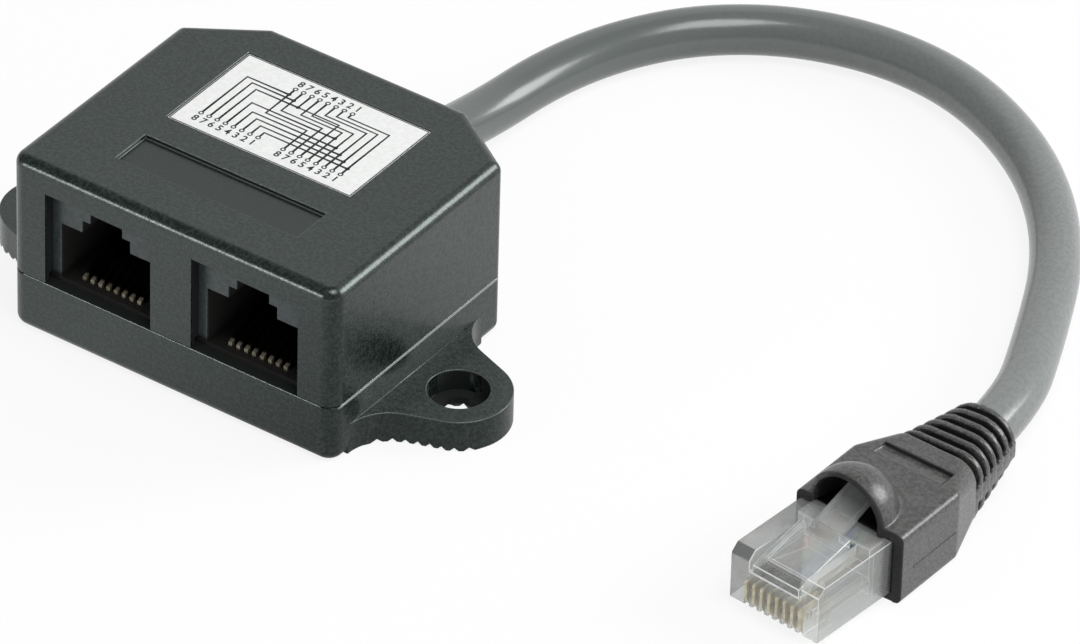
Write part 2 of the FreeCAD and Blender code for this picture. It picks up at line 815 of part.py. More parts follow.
def make_plug():
    """The clear plug: comb for the blades, chamber for the jacket, and a latch on a bendy root."""
    body = new_body("plug_body")
    outline = new_sketch(body, "plug_outline", "YZ_Plane", "-plug_width/2")
    draw_polygon(outline, [
        ("0", "0"),
        ("plug_length", "0"),
        ("plug_length", "plug_height"),
        ("2*nose_bevel", "plug_height"),
        ("0", "(plug_height - 2*nose_bevel)"),
    ])
    pad(body, outline, "plug_width")

    # The latch lies in a channel that is open at the top and closed at the nose.
    channel = new_sketch(body, "latch_channel", "XY_Plane", "plug_height")
    draw_rectangle(channel, "-channel_width/2", "channel_width/2", "-nose_bevel", "channel_length")
    pocket(body, channel, "plug_height - channel_floor")

    chamber = new_sketch(body, "jacket_chamber", "XZ_Plane", "-plug_length")
    draw_rectangle(chamber, "-chamber_width/2", "chamber_width/2",
                   "(plug_axis_z - cable_size/2 - fit_gap/2)", "(plug_axis_z + cable_size/2 + fit_gap/2)")
    cut = body.newObject("PartDesign::Pocket", "jacket_chamber_pocket")
    cut.Profile = chamber
    cut.Reversed = True
    bind(cut, "Length", "plug_length - chamber_front")

    # One flat slot takes the eight conductors side by side, above the blades.
    slot = new_sketch(body, "conductor_slot", "XZ_Plane", "-plug_length")
    draw_rectangle(slot, "(-4*contact_pitch)", "(4*contact_pitch)",
                   "(comb_floor - fit_gap/2)", "(comb_floor + lead_size + fit_gap/2)")
    run = body.newObject("PartDesign::Pocket", "conductor_slot_pocket")
    run.Profile = slot
    run.Reversed = True
    bind(run, "Length", "plug_length - comb_front")

    comb = new_sketch(body, "blade_slots", "XY_Plane", "comb_floor")
    for index in CONDUCTORS:
        draw_rectangle(comb, f"({comb_x(index)} - blade_thick/2 - slot_gap)",
                       f"({comb_x(index)} + blade_thick/2 + slot_gap)",
                       "-nose_bevel", "(blade_back + slot_gap)")
    pocket(body, comb, "comb_floor")

    # Latch: root at the nose, wide shoulders, then the narrow lever.
    root_low = "(channel_floor - latch_thick/2)"
    wide = new_sketch(body, "latch_shoulders", "YZ_Plane", "-latch_width/2")
    draw_polygon(wide, [
        ("latch_root_y - latch_grip", root_low),
        ("latch_root_y + latch_thick", root_low),
        ("latch_root_y + 1.6*latch_thick", "(channel_floor + 0.35*latch_thick)"),
        ("shoulder_y", "(shoulder_z - latch_thick)"),
        ("shoulder_y", "shoulder_z"),
        ("latch_root_y + 0.6*latch_thick", "(channel_floor + 1.45*latch_thick)"),
        ("latch_root_y - latch_grip", "(channel_floor + latch_thick)"),
    ])
    pad(body, wide, "latch_width")
    lever = new_sketch(body, "latch_lever", "YZ_Plane", "-lever_width/2")
    draw_polygon(lever, [
        ("shoulder_y - 1.5*latch_thick", "(shoulder_z - 1.2*latch_thick)"),
        ("shoulder_y", "(shoulder_z - latch_thick)"),
        ("lever_end_y", "(lever_end_z - latch_thick)"),
        ("lever_end_y", "lever_end_z"),
        ("shoulder_y - 1.5*latch_thick", "(shoulder_z - 0.2*latch_thick)"),
    ])
    pad(body, lever, "lever_width")
    doc.recompute()
    body.Placement = plug_placement()
    return body


def make_blade(index):
    """A gold blade, its tip touching the conductor above it."""
    body = new_body(f"plug_contact_{index + 1}")
    sketch = new_sketch(body, f"blade_{index + 1}", "YZ_Plane", f"({comb_x(index)} - blade_thick/2)")
    draw_polygon(sketch, [
        ("blade_front + blade_bevel", "blade_foot"),
        ("blade_back", "blade_foot"),
        ("blade_back", "comb_floor"),
        ("blade_front", "comb_floor"),
        ("blade_front", "blade_foot + blade_bevel"),
    ])
    pad(body, sketch, "blade_thick")
    doc.recompute()
    body.Placement = plug_placement()
    return body


def make_plug_lead(index):
    """A conductor from the plug's comb back to the jacket's end."""
    across, above = lead_place(index)
    x = (index - MIDDLE) * size("contact_pitch")
    comb_z = size("comb_floor") + size("lead_size") / 2
    end_y = size("jacket_end")
    points = [
        (x, size("comb_front") + size("slot_gap"), comb_z),
        (x, size("chamber_front") + 1.5 * size("lead_size"), comb_z),
        (across, end_y - size("lead_size"), size("plug_axis_z") + above),
        (across, end_y, size("plug_axis_z") + above),
    ]
    return new_feature(f"plug_lead_{index + 1}", sweep_lead(points), plug_placement())


# Boot

def tail_path():
    """The cable's path in the plug's frame, which the boot's bore and tail follow."""
    back_to_plug = plug_placement().inverse()
    return [tuple(back_to_plug.multVec(Vector(*point))) for point in cable_points()]


def tail_station(path, along):
    """Centre and heading of the tail, a distance along the path from the neck."""
    left = size("boot_neck") - size("jacket_end") + along
    for edge in reversed(path.Edges):
        if left <= edge.Length:
            parameter = edge.getParameterByLength(edge.Length - left)
            return edge.valueAt(parameter), edge.tangentAt(parameter) * -1
        left -= edge.Length
    raise RuntimeError("the tail is longer than the cable")


def oval(centre, heading, width, height):
    """A closed oval across the tail, wider than it is high where it leaves the neck."""
    across = heading.cross(Vector(0, 0, 1))
    if abs(width - height) < 0.01:
        return Part.Wire(Part.Circle(centre, heading, width / 2).toShape())
    main = Part.Ellipse(centre + across * (width / 2), centre + Vector(0, 0, height / 2), centre)
    return Part.Wire(main.toShape())


def make_boot():
    """A soft boot over the plug's rear, with a hood over the lever and a ribbed, bent tail."""
    half = size("boot_width") / 2
    neck_half = size("boot_neck_width") / 2
    front = size("boot_front")
    straight = size("boot_straight")
    neck = size("boot_neck")
    low = -size("plug_z")
    top = size("boot_top")
    axis_z = size("plug_axis_z")
    outline = [(-half, front), (half, front), (half, straight), (neck_half, neck),
               (-neck_half, neck), (-half, straight), (-half, front)]
    main = Part.Face(Part.makePolygon([Vector(x, y, low) for x, y in outline]))
    main = main.extrude(Vector(0, 0, top - low))
    kept = []
    for edge in main.Edges:
        middle = edge.valueAt((edge.FirstParameter + edge.LastParameter) / 2)
        if middle.y > front + 0.01 and middle.y < neck - 0.01:
            kept.append(edge)
    main = main.makeFillet(size("boot_edge"), kept)
    panel = Part.makeBox(size("boot_panel_width"), size("boot_panel_depth"), size("boot_edge"),
                         Vector(-size("boot_panel_width") / 2,
                                size("boot_panel_y") - size("boot_panel_depth") / 2,
                                top - size("boot_panel_sink")))
    main = main.cut(panel)
    # The soft boot sits a little askew on the plug, as the bent cable pulls it.
    main.rotate(Vector(0, size("boot_pivot_y"), 0), Vector(0, 0, 1), size("boot_skew"))

    radius = size("hood_radius")
    hood_centre = Vector(size("hood_x"), size("hood_y"), size("hood_z"))
    hood = Part.makeSphere(radius, hood_centre)
    lift = Part.makeBox(2 * radius, 2 * radius, 2 * radius,
                        Vector(hood_centre.x - radius, front, axis_z))
    main = main.fuse(hood.common(lift))

    points = tail_path()
    path = bent_run(points)[0]
    neck_height = top - low - size("boot_edge")
    sections = []
    for share in (-0.1, 0.5, 1.0):
        centre, heading = tail_station(path, share * size("tail_length"))
        width = size("boot_neck_width") + (size("tail_size") - size("boot_neck_width")) * max(share, 0)
        height = neck_height + (size("tail_size") - neck_height) * max(share, 0)
        sections.append(oval(centre, heading, width, height))
    boot = main.fuse(Part.makeLoft(sections, True, False)).removeSplitter()

    # Slots across the top and the bottom of the tail, apart from a spine along each side.
    core = size("cable_size") / 2 + size("slot_floor")
    reach = size("boot_width")
    spine = size("tail_spine") / 2
    for step in range(int(size("tail_slots"))):
        for share, base in ((size("upper_slot_start"), axis_z + spine),
                            (size("lower_slot_start"), axis_z - spine - 2 * reach)):
            centre, heading = tail_station(path, size("slot_pitch") * (step + share))
            disc = Part.makeCylinder(reach, size("slot_width"), centre, heading)
            disc = disc.cut(Part.makeCylinder(core, size("slot_width") * 3,
                                              centre - heading * size("slot_width"), heading))
            keep = Part.makeBox(4 * reach, 4 * reach, 2 * reach,
                                Vector(-2 * reach, neck - 2 * reach, base))
            boot = boot.cut(disc.common(keep))

    # Inside: the plug's rear, the hood's hollow, and the bore for the jacket.
    gap = size("fit_gap") / 2
    plug_half = size("plug_width") / 2 + gap
    ahead = front - half * math.sin(math.radians(size("boot_skew"))) - gap
    seat = Part.makeBox(2 * plug_half, size("plug_length") - ahead + gap, size("plug_height") + 2 * gap,
                        Vector(-plug_half, ahead, -gap))
    boot = boot.cut(seat)
    hollow = Part.makeCone(radius - size("hood_wall"), size("hood_inner_back"),
                           size("lever_end_y") - ahead + 4 * gap,
                           Vector(hood_centre.x, ahead, hood_centre.z), Vector(0, 1, 0))
    above_plug = Part.makeBox(2 * radius, 2 * radius, 2 * radius,
                              Vector(hood_centre.x - radius, ahead, size("plug_height")))
    boot = boot.cut(hollow.common(above_plug))
    boot = boot.cut(sweep_round(points, size("cable_size") + size("fit_gap"))[0])

    return new_feature("boot", boot, plug_placement())


# Build and write

def check_document():
    doc.recompute()
    for item in doc.Objects:
        if "Invalid" in item.State or "Error" in item.State:
            raise RuntimeError(f"{item.Name}: {item.State}")


def main():
    parts = [make_upper_shell(), make_lower_shell(), make_label(), make_board()]
    for word, side in (("left", "-1"), ("right", "1")):
        parts.append(make_jack(word, side))
        parts.extend(make_contact(word, side, index) for index in CONDUCTORS)
    parts.append(make_cable())
    parts.append(make_cable_tie())
    parts.extend(make_board_lead(index) for index in CONDUCTORS)
    parts.append(make_plug())
    parts.append(make_boot())
    parts.extend(make_blade(index) for index in CONDUCTORS)
    parts.extend(make_plug_lead(index) for index in CONDUCTORS)
    check_document()
    for item in parts:
        if item.Shape.isNull() or not item.Shape.isValid():
            raise RuntimeError(item.Label + " has no valid shape")
    os.makedirs("parts", exist_ok=True)
    for item in parts:
        item.Shape.exportStep(f"parts/{item.Label}.step")
        print(item.Label, len(item.Shape.Solids), round(item.Shape.Volume, 2))


main()
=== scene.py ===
import math

import bpy
import numpy as np
from mathutils import Matrix, Vector


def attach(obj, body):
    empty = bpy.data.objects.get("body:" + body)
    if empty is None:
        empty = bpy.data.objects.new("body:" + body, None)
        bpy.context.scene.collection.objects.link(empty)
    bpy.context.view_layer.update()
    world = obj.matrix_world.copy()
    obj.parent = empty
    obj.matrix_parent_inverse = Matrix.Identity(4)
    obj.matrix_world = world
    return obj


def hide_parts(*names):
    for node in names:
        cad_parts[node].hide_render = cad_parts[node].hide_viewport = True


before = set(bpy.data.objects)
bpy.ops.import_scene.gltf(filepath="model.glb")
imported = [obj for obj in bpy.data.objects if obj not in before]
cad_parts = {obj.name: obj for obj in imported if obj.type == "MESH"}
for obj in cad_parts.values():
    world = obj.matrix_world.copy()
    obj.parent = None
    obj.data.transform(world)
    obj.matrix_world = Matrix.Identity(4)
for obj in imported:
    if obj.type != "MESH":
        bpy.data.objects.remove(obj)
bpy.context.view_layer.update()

bpy.ops.object.select_all(action="DESELECT")
mm = 0.001


def metres(place):
    return [c * mm for c in place]


# camera at the photograph's angle

view = {
    "lens": 352.725,
    "sensor": 36.0,
    "clipEnd": 10,
    "place": (0.52781, -0.72659, 0.668126),
    "right": (0.817304, 0.575739, 0.023219),
    "up": (-0.359213, 0.477594, 0.801792),
    "back": (0.450533, -0.663648, 0.597152),
}


def addCamera():
    bpy.ops.object.camera_add()
    camera = bpy.context.object
    camera.name = "camera"
    camera.data.lens = view["lens"]
    camera.data.sensor_width = view["sensor"]
    camera.data.clip_end = view["clipEnd"]
    turn = Matrix((view["right"], view["up"], view["back"])).transposed()
    camera.matrix_world = Matrix.Translation(view["place"]) @ turn.to_4x4()
    bpy.context.scene.camera = camera


# small helpers for materials

def newMaterial(name):
    material = bpy.data.materials.new(name)
    material.use_nodes = True
    tree = material.node_tree
    return material, tree, tree.nodes["Principled BSDF"]


def objectPlace(tree):
    return tree.nodes.new("ShaderNodeTexCoord").outputs["Object"]


def addAttribute(tree, name):
    attribute = tree.nodes.new("ShaderNodeAttribute")
    attribute.attribute_name = name
    return attribute.outputs["Fac"]


def addNoise(tree, place, scale, detail=3.0, roughness=0.5):
    noise = tree.nodes.new("ShaderNodeTexNoise")
    noise.inputs["Scale"].default_value = scale
    noise.inputs["Detail"].default_value = detail
    noise.inputs["Roughness"].default_value = roughness
    tree.links.new(place, noise.inputs["Vector"])
    return noise.outputs["Fac"]


def addRange(tree, source, low, high, fromLow=0.3, fromHigh=0.7):
    spread = tree.nodes.new("ShaderNodeMapRange")
    spread.inputs["From Min"].default_value = fromLow
    spread.inputs["From Max"].default_value = fromHigh
    spread.inputs["To Min"].default_value = low
    spread.inputs["To Max"].default_value = high
    tree.links.new(source, spread.inputs["Value"])
    return spread.outputs["Result"]


def connect(tree, source, socket):
    # a plain number goes on the socket itself
    if isinstance(source, (int, float)):
        socket.default_value = source
    else:
        tree.links.new(source, socket)


def addMath(tree, operation, first, second=None):
    node = tree.nodes.new("ShaderNodeMath")
    node.operation = operation
    connect(tree, first, node.inputs[0])
    if second is not None:
        connect(tree, second, node.inputs[1])
    return node.outputs[0]


def addColours(tree, source, low, high):
    mix = tree.nodes.new("ShaderNodeMix")
    mix.data_type = "RGBA"
    for name, colour in (("A", low), ("B", high)):
        if isinstance(colour, tuple):
            mix.inputs[name].default_value = (*colour, 1)
        else:
            tree.links.new(colour, mix.inputs[name])
    tree.links.new(source, mix.inputs["Factor"])
    return mix.outputs["Result"]


def addShaderMix(tree, share, first, second):
    mix = tree.nodes.new("ShaderNodeMixShader")
    connect(tree, share, mix.inputs["Fac"])
    tree.links.new(first, mix.inputs[1])
    tree.links.new(second, mix.inputs[2])
    return mix.outputs["Shader"]


def addBump(tree, source, distance, shader):
    bump = tree.nodes.new("ShaderNodeBump")
    bump.inputs["Strength"].default_value = 1.0
    bump.inputs["Distance"].default_value = distance
    tree.links.new(source, bump.inputs["Height"])
    tree.links.new(bump.outputs["Normal"], shader.inputs["Normal"])


def addBoxMask(tree, place, low, high, edge):
    # 1 inside the box, 0 outside, with a soft edge; the sizes are in millimetres
    split = tree.nodes.new("ShaderNodeSeparateXYZ")
    tree.links.new(place, split.inputs[0])
    mask = None
    for start, end, output in zip(metres(low), metres(high), split.outputs):
        half = (end - start) / 2
        away = addMath(tree, "ABSOLUTE", addMath(tree, "SUBTRACT", output, (start + end) / 2))
        share = addRange(tree, away, 1, 0, half - edge * mm, half)
        mask = share if mask is None else addMath(tree, "MULTIPLY", mask, share)
    return mask


# Plain moulded plastics, each with its own grain. A box is its two corners, its soft edge and a
# colour: "inside" boxes are painted shade where hardly any light gets in, and lose their gloss;
# "patches" only change colour. "rim" is a painted highlight on the eased edges, "shade" the
# colour of painted shade on a piece's deep places.

plastics = {
    "housingPlastic": {
        "dark": (0.003, 0.005, 0.004),
        "light": (0.018, 0.026, 0.023),
        "rough": (0.20, 0.32),
        "grain": 3400,
        "depth": 0.000013,
        "specular": 0.66,
        "tint": (0.88, 1.0, 0.97),
        # painted highlight: the eased edges are lighter
        "rim": (0.075, 0.088, 0.083),
        "patches": [
            # painted highlight on the lower shell's parting chamfer, on both sides
            ((20.82, -17.5, 6.78), (21.3, 17.5, 7.03), 0.02, (0.26, 0.28, 0.27)),
            ((-21.3, -17.5, 6.78), (-20.82, 17.5, 7.03), 0.02, (0.26, 0.28, 0.27)),
            # painted shade on the sunk panel's floor
            ((-11.66, -11.46, 21.30), (11.66, -6.34, 21.50), 0.05, (0.006, 0.009, 0.008)),
        ],
        # painted shade: the inside seen through the windows, the walls of the sunk panel and of the
        # label's recess, the groove above the parting line and the screw holes
        "inside": [
            ((-20.2, -17.42, 1.35), (20.2, 11.5, 20.3), 0.12, (0.004, 0.004, 0.004)),
            ((-11.75, -6.56, 21.30), (11.75, -6.18, 21.85), 0.05, (0.002, 0.002, 0.002)),
            ((-12.00, 12.08, 21.55), (12.00, 12.30, 21.86), 0.05, (0.002, 0.002, 0.002)),
            ((-12.00, -2.45, 21.55), (-11.80, 12.30, 21.86), 0.05, (0.002, 0.002, 0.002)),
            ((20.82, -17.5, 7.03), (21.3, 17.5, 7.22), 0.02, (0.002, 0.002, 0.002)),
            ((-21.3, -17.5, 7.03), (-20.82, 17.5, 7.22), 0.02, (0.002, 0.002, 0.002)),
            ((23.2, -6.2, 0.25), (29.8, 0.4, 3.62), 0.10, (0.004, 0.004, 0.004)),
            ((-29.8, -6.2, 0.25), (-23.2, 0.4, 3.62), 0.10, (0.004, 0.004, 0.004)),
        ],
    },
    "socketPlastic": {
        "dark": (0.040, 0.052, 0.053),
        "light": (0.062, 0.074, 0.075),
        "rough": (0.26, 0.36),
        "grain": 2600,
        "depth": 0.000006,
        "specular": 0.36,
        # painted shade: the jacks dark behind their front faces and towards the bottom
        "inside": [
            ((-18.0, -16.02, 1.0), (18.0, 3.0, 19.0), 0.25, (0.024, 0.022, 0.021)),
            ((-18.0, -18.0, 1.0), (18.0, 3.0, 8.3), 0.50, (0.014, 0.013, 0.012)),
        ],
    },
    "bootRubber": {
        "dark": (0.044, 0.047, 0.044),
        "light": (0.086, 0.089, 0.085),
        "rough": (0.24, 0.36),
        "grain": 3600,
        "depth": 0.000016,
        "specular": 0.6,
        "shade": (0.004, 0.004, 0.004),
    },
    "cablePvc": {
        "dark": (0.178, 0.192, 0.188),
        "light": (0.206, 0.221, 0.216),
        "rough": (0.16, 0.25),
        "grain": 2600,
        "depth": 0.000008,
        "specular": 0.6,
        # painted shade: the cable is darker towards the housing
        "patches": [((-200, -200, -200), (55, 200, 200), 55, (0.112, 0.126, 0.123))],
    },
    "tieNylon": {
        "dark": (0.62, 0.62, 0.58),
        "light": (0.72, 0.72, 0.68),
        "rough": (0.35, 0.45),
        "grain": 1800,
        "depth": 0.000006,
        "specular": 0.5,
    },
    "boardLaminate": {
        "dark": (0.010, 0.075, 0.028),
        "light": (0.014, 0.100, 0.038),
        "rough": (0.30, 0.42),
        "grain": 900,
        "depth": 0.000006,
        "specular": 0.5,
    },
    "bladeMetal": {
        "dark": (0.42, 0.38, 0.27),
        "light": (0.60, 0.55, 0.42),
        "rough": (0.26, 0.38),
        "grain": 1500,
        "depth": 0.000004,
        "specular": 0.8,
    },
    "labelPaper": {
        "dark": (0.79, 0.80, 0.79),
        "light": (0.85, 0.86, 0.85),
        "rough": (0.42, 0.55),
        "grain": 2400,
        "depth": 0.000003,
        "specular": 0.4,
    },
    "printInk": {
        "dark": (0.008, 0.009, 0.010),
        "light": (0.014, 0.015, 0.016),
        "rough": (0.40, 0.55),
        "grain": 2400,
        "depth": 0.000002,
        "specular": 0.25,
    },
}


def makePlastic(name):
    look = plastics[name]
    material, tree, shader = newMaterial(name)
    place = objectPlace(tree)
    grain = addNoise(tree, place, look["grain"], 4, 0.6)
    speck = addNoise(tree, place, look["grain"] * 0.75, 2, 0.6)
    spread = addRange(tree, speck, 0, 1, 0.40, 0.60)
    colour = addColours(tree, spread, look["dark"], look["light"])
    masks = []
    # painted shade: the inside boxes are dark and lose their gloss
    for low, high, edge, inside in look.get("inside", []):
        masks.append(addBoxMask(tree, place, low, high, edge))
        colour = addColours(tree, masks[-1], colour, inside)
    # patches change colour only; some of them are painted highlights or painted shade
    for low, high, edge, patch in look.get("patches", []):
        colour = addColours(tree, addBoxMask(tree, place, low, high, edge), colour, patch)
    # painted highlight on the eased edges
    if "rim" in look:
        colour = addColours(tree, addAttribute(tree, "rim"), colour, look["rim"])
    # painted shade on the deep places
    if "shade" in look:
        masks.append(addAttribute(tree, "depth"))
        colour = addColours(tree, masks[-1], colour, look["shade"])
    rough = addRange(tree, grain, *look["rough"])
    for mask in masks:
        rough = addMath(tree, "MAXIMUM", rough, mask)
    shader.inputs["Specular IOR Level"].default_value = look["specular"]
    if "tint" in look:
        shader.inputs["Specular Tint"].default_value = (*look["tint"], 1)
    tree.links.new(colour, shader.inputs["Base Color"])
    tree.links.new(rough, shader.inputs["Roughness"])
    addBump(tree, grain, look["depth"], shader)
    return material


# the jacks' gold springs, with painted shade on them behind their front bends, so only the bends
# show bright

gold = {
    "dark": (0.86, 0.76, 0.54),
    "light": (0.96, 0.90, 0.72),
    "rough": (0.36, 0.48),
    "wear": 900,
    "grain": 5000,
    "depth": 0.000003,
    # painted shade: the springs are dark behind their front bends
    "inside": ((-20, -14.76, 0), (20, 10, 20), 0.25, (0.020, 0.015, 0.008)),
}


def makeGold():
    material, tree, shader = newMaterial("goldSprings")
    place = objectPlace(tree)
    shader.inputs["Metallic"].default_value = 1
    wear = addNoise(tree, place, gold["wear"])
    colour = addColours(tree, addRange(tree, wear, 0, 1), gold["dark"], gold["light"])
    # painted shade behind the front bends
    low, high, edge, deep = gold["inside"]
    colour = addColours(tree, addBoxMask(tree, place, low, high, edge), colour, deep)
    tree.links.new(colour, shader.inputs["Base Color"])
    tree.links.new(addRange(tree, wear, *gold["rough"]), shader.inputs["Roughness"])
    addBump(tree, addNoise(tree, place, gold["grain"]), gold["depth"], shader)
    return material


# the conductors: base colour and stripe, in the order of their numbers

leadColours = {
    "white_orange": ((0.74, 0.62, 0.50), (0.78, 0.22, 0.06)),
    "orange": ((0.74, 0.18, 0.05), (0.80, 0.24, 0.07)),
    "white_green": ((0.70, 0.74, 0.62), (0.04, 0.34, 0.12)),
    "blue": ((0.02, 0.06, 0.34), (0.03, 0.08, 0.40)),
    "white_blue": ((0.68, 0.71, 0.76), (0.03, 0.09, 0.42)),
    "green": ((0.02, 0.24, 0.07), (0.03, 0.30, 0.10)),
    "white_brown": ((0.72, 0.64, 0.54), (0.20, 0.08, 0.04)),
    "brown": ((0.16, 0.06, 0.03), (0.20, 0.08, 0.04)),
}
leadBands = {
    "scale": 180,
    "distortion": 1.2,
    "edge": (0.62, 0.70),
    "grain": 2200,
    "rough": (0.32, 0.42),
}


def makeLeadMaterial(name):
    base, stripe = leadColours[name]
    material, tree, shader = newMaterial("lead_" + name)
    place = objectPlace(tree)
    wave = tree.nodes.new("ShaderNodeTexWave")
    wave.inputs["Scale"].default_value = leadBands["scale"]
    wave.inputs["Distortion"].default_value = leadBands["distortion"]
    tree.links.new(place, wave.inputs["Vector"])
    band = addRange(tree, wave.outputs["Fac"], 0, 1, *leadBands["edge"])
    tree.links.new(addColours(tree, band, base, stripe), shader.inputs["Base Color"])
    rough = addRange(tree, addNoise(tree, place, leadBands["grain"]), *leadBands["rough"])
    tree.links.new(rough, shader.inputs["Roughness"])
    return material


# the plug's clear plastic: the rails and walls that show the dark boot get a painted grey for that
# refraction; "hollow" is the box of painted shade behind which the boot darkens the plug; the eased
# edges get a painted milky highlight; and each "On" or "Share" is how much of it shows

clear = {
    "body": (0.88, 0.90, 0.89),
    "rough": (0.06, 0.14),
    "depth": 0.00003,
    "haze": 420,
    "hazeShare": (-0.04, 0.06),
    # painted refraction: the grey of the faces that show the dark boot through them
    "paintedRefraction": (0.13, 0.14, 0.135),
    "paintedRefractionOn": 0.72,
    # painted shade on the plug where the boot's hood darkens it
    "hollow": ((-7.5, 10.9, -1.0), (7.5, 30.0, 7.7), 0.9, (0.006, 0.006, 0.006)),
    "hollowOn": 0.92,
    "tint": (0.96, 0.97, 0.965),
    "glass": (0.98, 0.985, 0.98),
    "glassRough": 0.03,
    "glassShare": 0.50,
    "index": 1.34,
    "blend": 0.35,
    "faceOn": 0.07,
    "edgeOn": 0.54,
    # painted highlight: the eased edges are at least this milky
    "edgeShare": 0.75,
}


def makeClearPlastic():
    # a mix of clear glass and a milky share that grows towards the edges
    material, tree, shader = newMaterial("clearPolycarbonate")
    place = objectPlace(tree)
    haze = addNoise(tree, place, clear["haze"], 3)
    inPlug = tree.nodes.new("ShaderNodeMapping")
    inPlug.vector_type = "TEXTURE"
    inPlug.inputs["Location"].default_value = metres(boot["plugPlace"])
    inPlug.inputs["Rotation"].default_value = (0, 0, math.radians(boot["plugTurn"]))
    tree.links.new(place, inPlug.inputs["Vector"])
    # painted shade where the boot darkens the plug
    low, high, edge, black = clear["hollow"]
    hollow = addBoxMask(tree, inPlug.outputs["Vector"], low, high, edge)
    # painted refraction: grey where the dark boot shows through
    paintedRefraction = addAttribute(tree, "paintedRefraction")
    colour = addColours(tree, paintedRefraction, clear["body"], clear["paintedRefraction"])
    tree.links.new(addColours(tree, hollow, colour, black), shader.inputs["Base Color"])
    tree.links.new(addRange(tree, haze, *clear["rough"]), shader.inputs["Roughness"])
    addBump(tree, haze, clear["depth"], shader)

    through = tree.nodes.new("ShaderNodeBsdfTransparent")
    through.inputs["Color"].default_value = (*clear["tint"], 1)
    glass = tree.nodes.new("ShaderNodeBsdfGlass")
    glass.inputs["Color"].default_value = (*clear["glass"], 1)
    glass.inputs["Roughness"].default_value = clear["glassRough"]
    glass.inputs["IOR"].default_value = clear["index"]
    core = addShaderMix(tree, clear["glassShare"], through.outputs["BSDF"], glass.outputs["BSDF"])

    facing = tree.nodes.new("ShaderNodeLayerWeight")
    facing.inputs["Blend"].default_value = clear["blend"]
    share = addRange(tree, facing.outputs["Facing"], clear["faceOn"], clear["edgeOn"], 0, 1)
    shown = addMath(tree, "ADD", share, addRange(tree, haze, *clear["hazeShare"]))
    # painted highlight: the eased edges are mostly milky
    rim = addAttribute(tree, "rim")
    for mask, most in ((rim, "edgeShare"), (paintedRefraction, "paintedRefractionOn"), (hollow, "hollowOn")):
        shown = addMath(tree, "MAXIMUM", shown, addMath(tree, "MULTIPLY", mask, clear[most]))
    surface = addShaderMix(tree, shown, core, shader.outputs["BSDF"])
    tree.links.new(surface, tree.nodes["Material Output"].inputs["Surface"])
    return material


# floor, backdrop and lamps

studio = {
    "floor": (0.90, 0.90, 0.90),
    "floorRough": 0.9,
    "floorSize": 6.0,
    "floorZ": -0.00002,
    "floorGlow": 0.86,
    "lamps": {
        # name: place, power, size
        "keyLamp": ((0.36, -0.10, 0.90), 5.0, 0.50),
        "frontLamp": ((-0.44, -0.84, 0.15), 1.9, 0.20),
        "sideLamp": ((0.60, 0.62, 0.44), 5.0, 0.44),
    },
    "aim": (0.03, 0.01, 0.01),
    "sky": 0.34,
    # gloss sees the room overhead and in front and the white rear; each fade is in the
    # direction's own share, 0 to 1
    "room": 0.28,
    "rear": 1.08,
    "rearFade": (0.05, 0.45),
    "upFade": (0.70, 0.86),
    # the floor's darker spot: centre, inner and outer radius, least strength
    "dim": ((0.034, -0.022, 0), 0.014, 0.046, 0.40),
}


def addLamp(name, place, power, size):
    bpy.ops.object.light_add(type="AREA", location=place)
    lamp = bpy.context.object
    lamp.name = name
    lamp.data.energy = power
    lamp.data.size = size
    aim = Vector(studio["aim"]) - Vector(place)
    lamp.rotation_euler = aim.to_track_quat("-Z", "Y").to_euler()


def addSeenRays(tree, glossy=True):
    path = tree.nodes.new("ShaderNodeLightPath").outputs
    seen = addMath(tree, "MAXIMUM", path["Is Camera Ray"], path["Is Transmission Ray"])
    if glossy:
        seen = addMath(tree, "MAXIMUM", seen, path["Is Glossy Ray"])
    return seen


def addRoom(tree):
    # gloss sees a white backdrop behind the object, a darker room in front of it and above it
    split = tree.nodes.new("ShaderNodeSeparateXYZ")
    tree.links.new(tree.nodes.new("ShaderNodeTexCoord").outputs["Generated"], split.inputs[0])
    room, rear = studio["room"], studio["rear"]
    back = addRange(tree, split.outputs["Y"], room, rear, *studio["rearFade"])
    low = addRange(tree, split.outputs["Z"], rear, room, *studio["upFade"])
    glossy = addMath(tree, "MINIMUM", back, low)
    seen = addSeenRays(tree, glossy=False)
    away = addMath(tree, "SUBTRACT", 1.0, seen)
    return addMath(tree, "ADD", addMath(tree, "MULTIPLY", glossy, away), seen)


def addDim(tree):
    # the floor is darker to gloss near the front right corner
    centre, near, far, least = studio["dim"]
    apart = tree.nodes.new("ShaderNodeVectorMath")
    apart.operation = "DISTANCE"
    tree.links.new(tree.nodes.new("ShaderNodeNewGeometry").outputs["Position"], apart.inputs[0])
    apart.inputs[1].default_value = centre
    shade = addRange(tree, apart.outputs["Value"], least, 1, near, far)
    return addMath(tree, "MAXIMUM", shade, addSeenRays(tree, glossy=False))


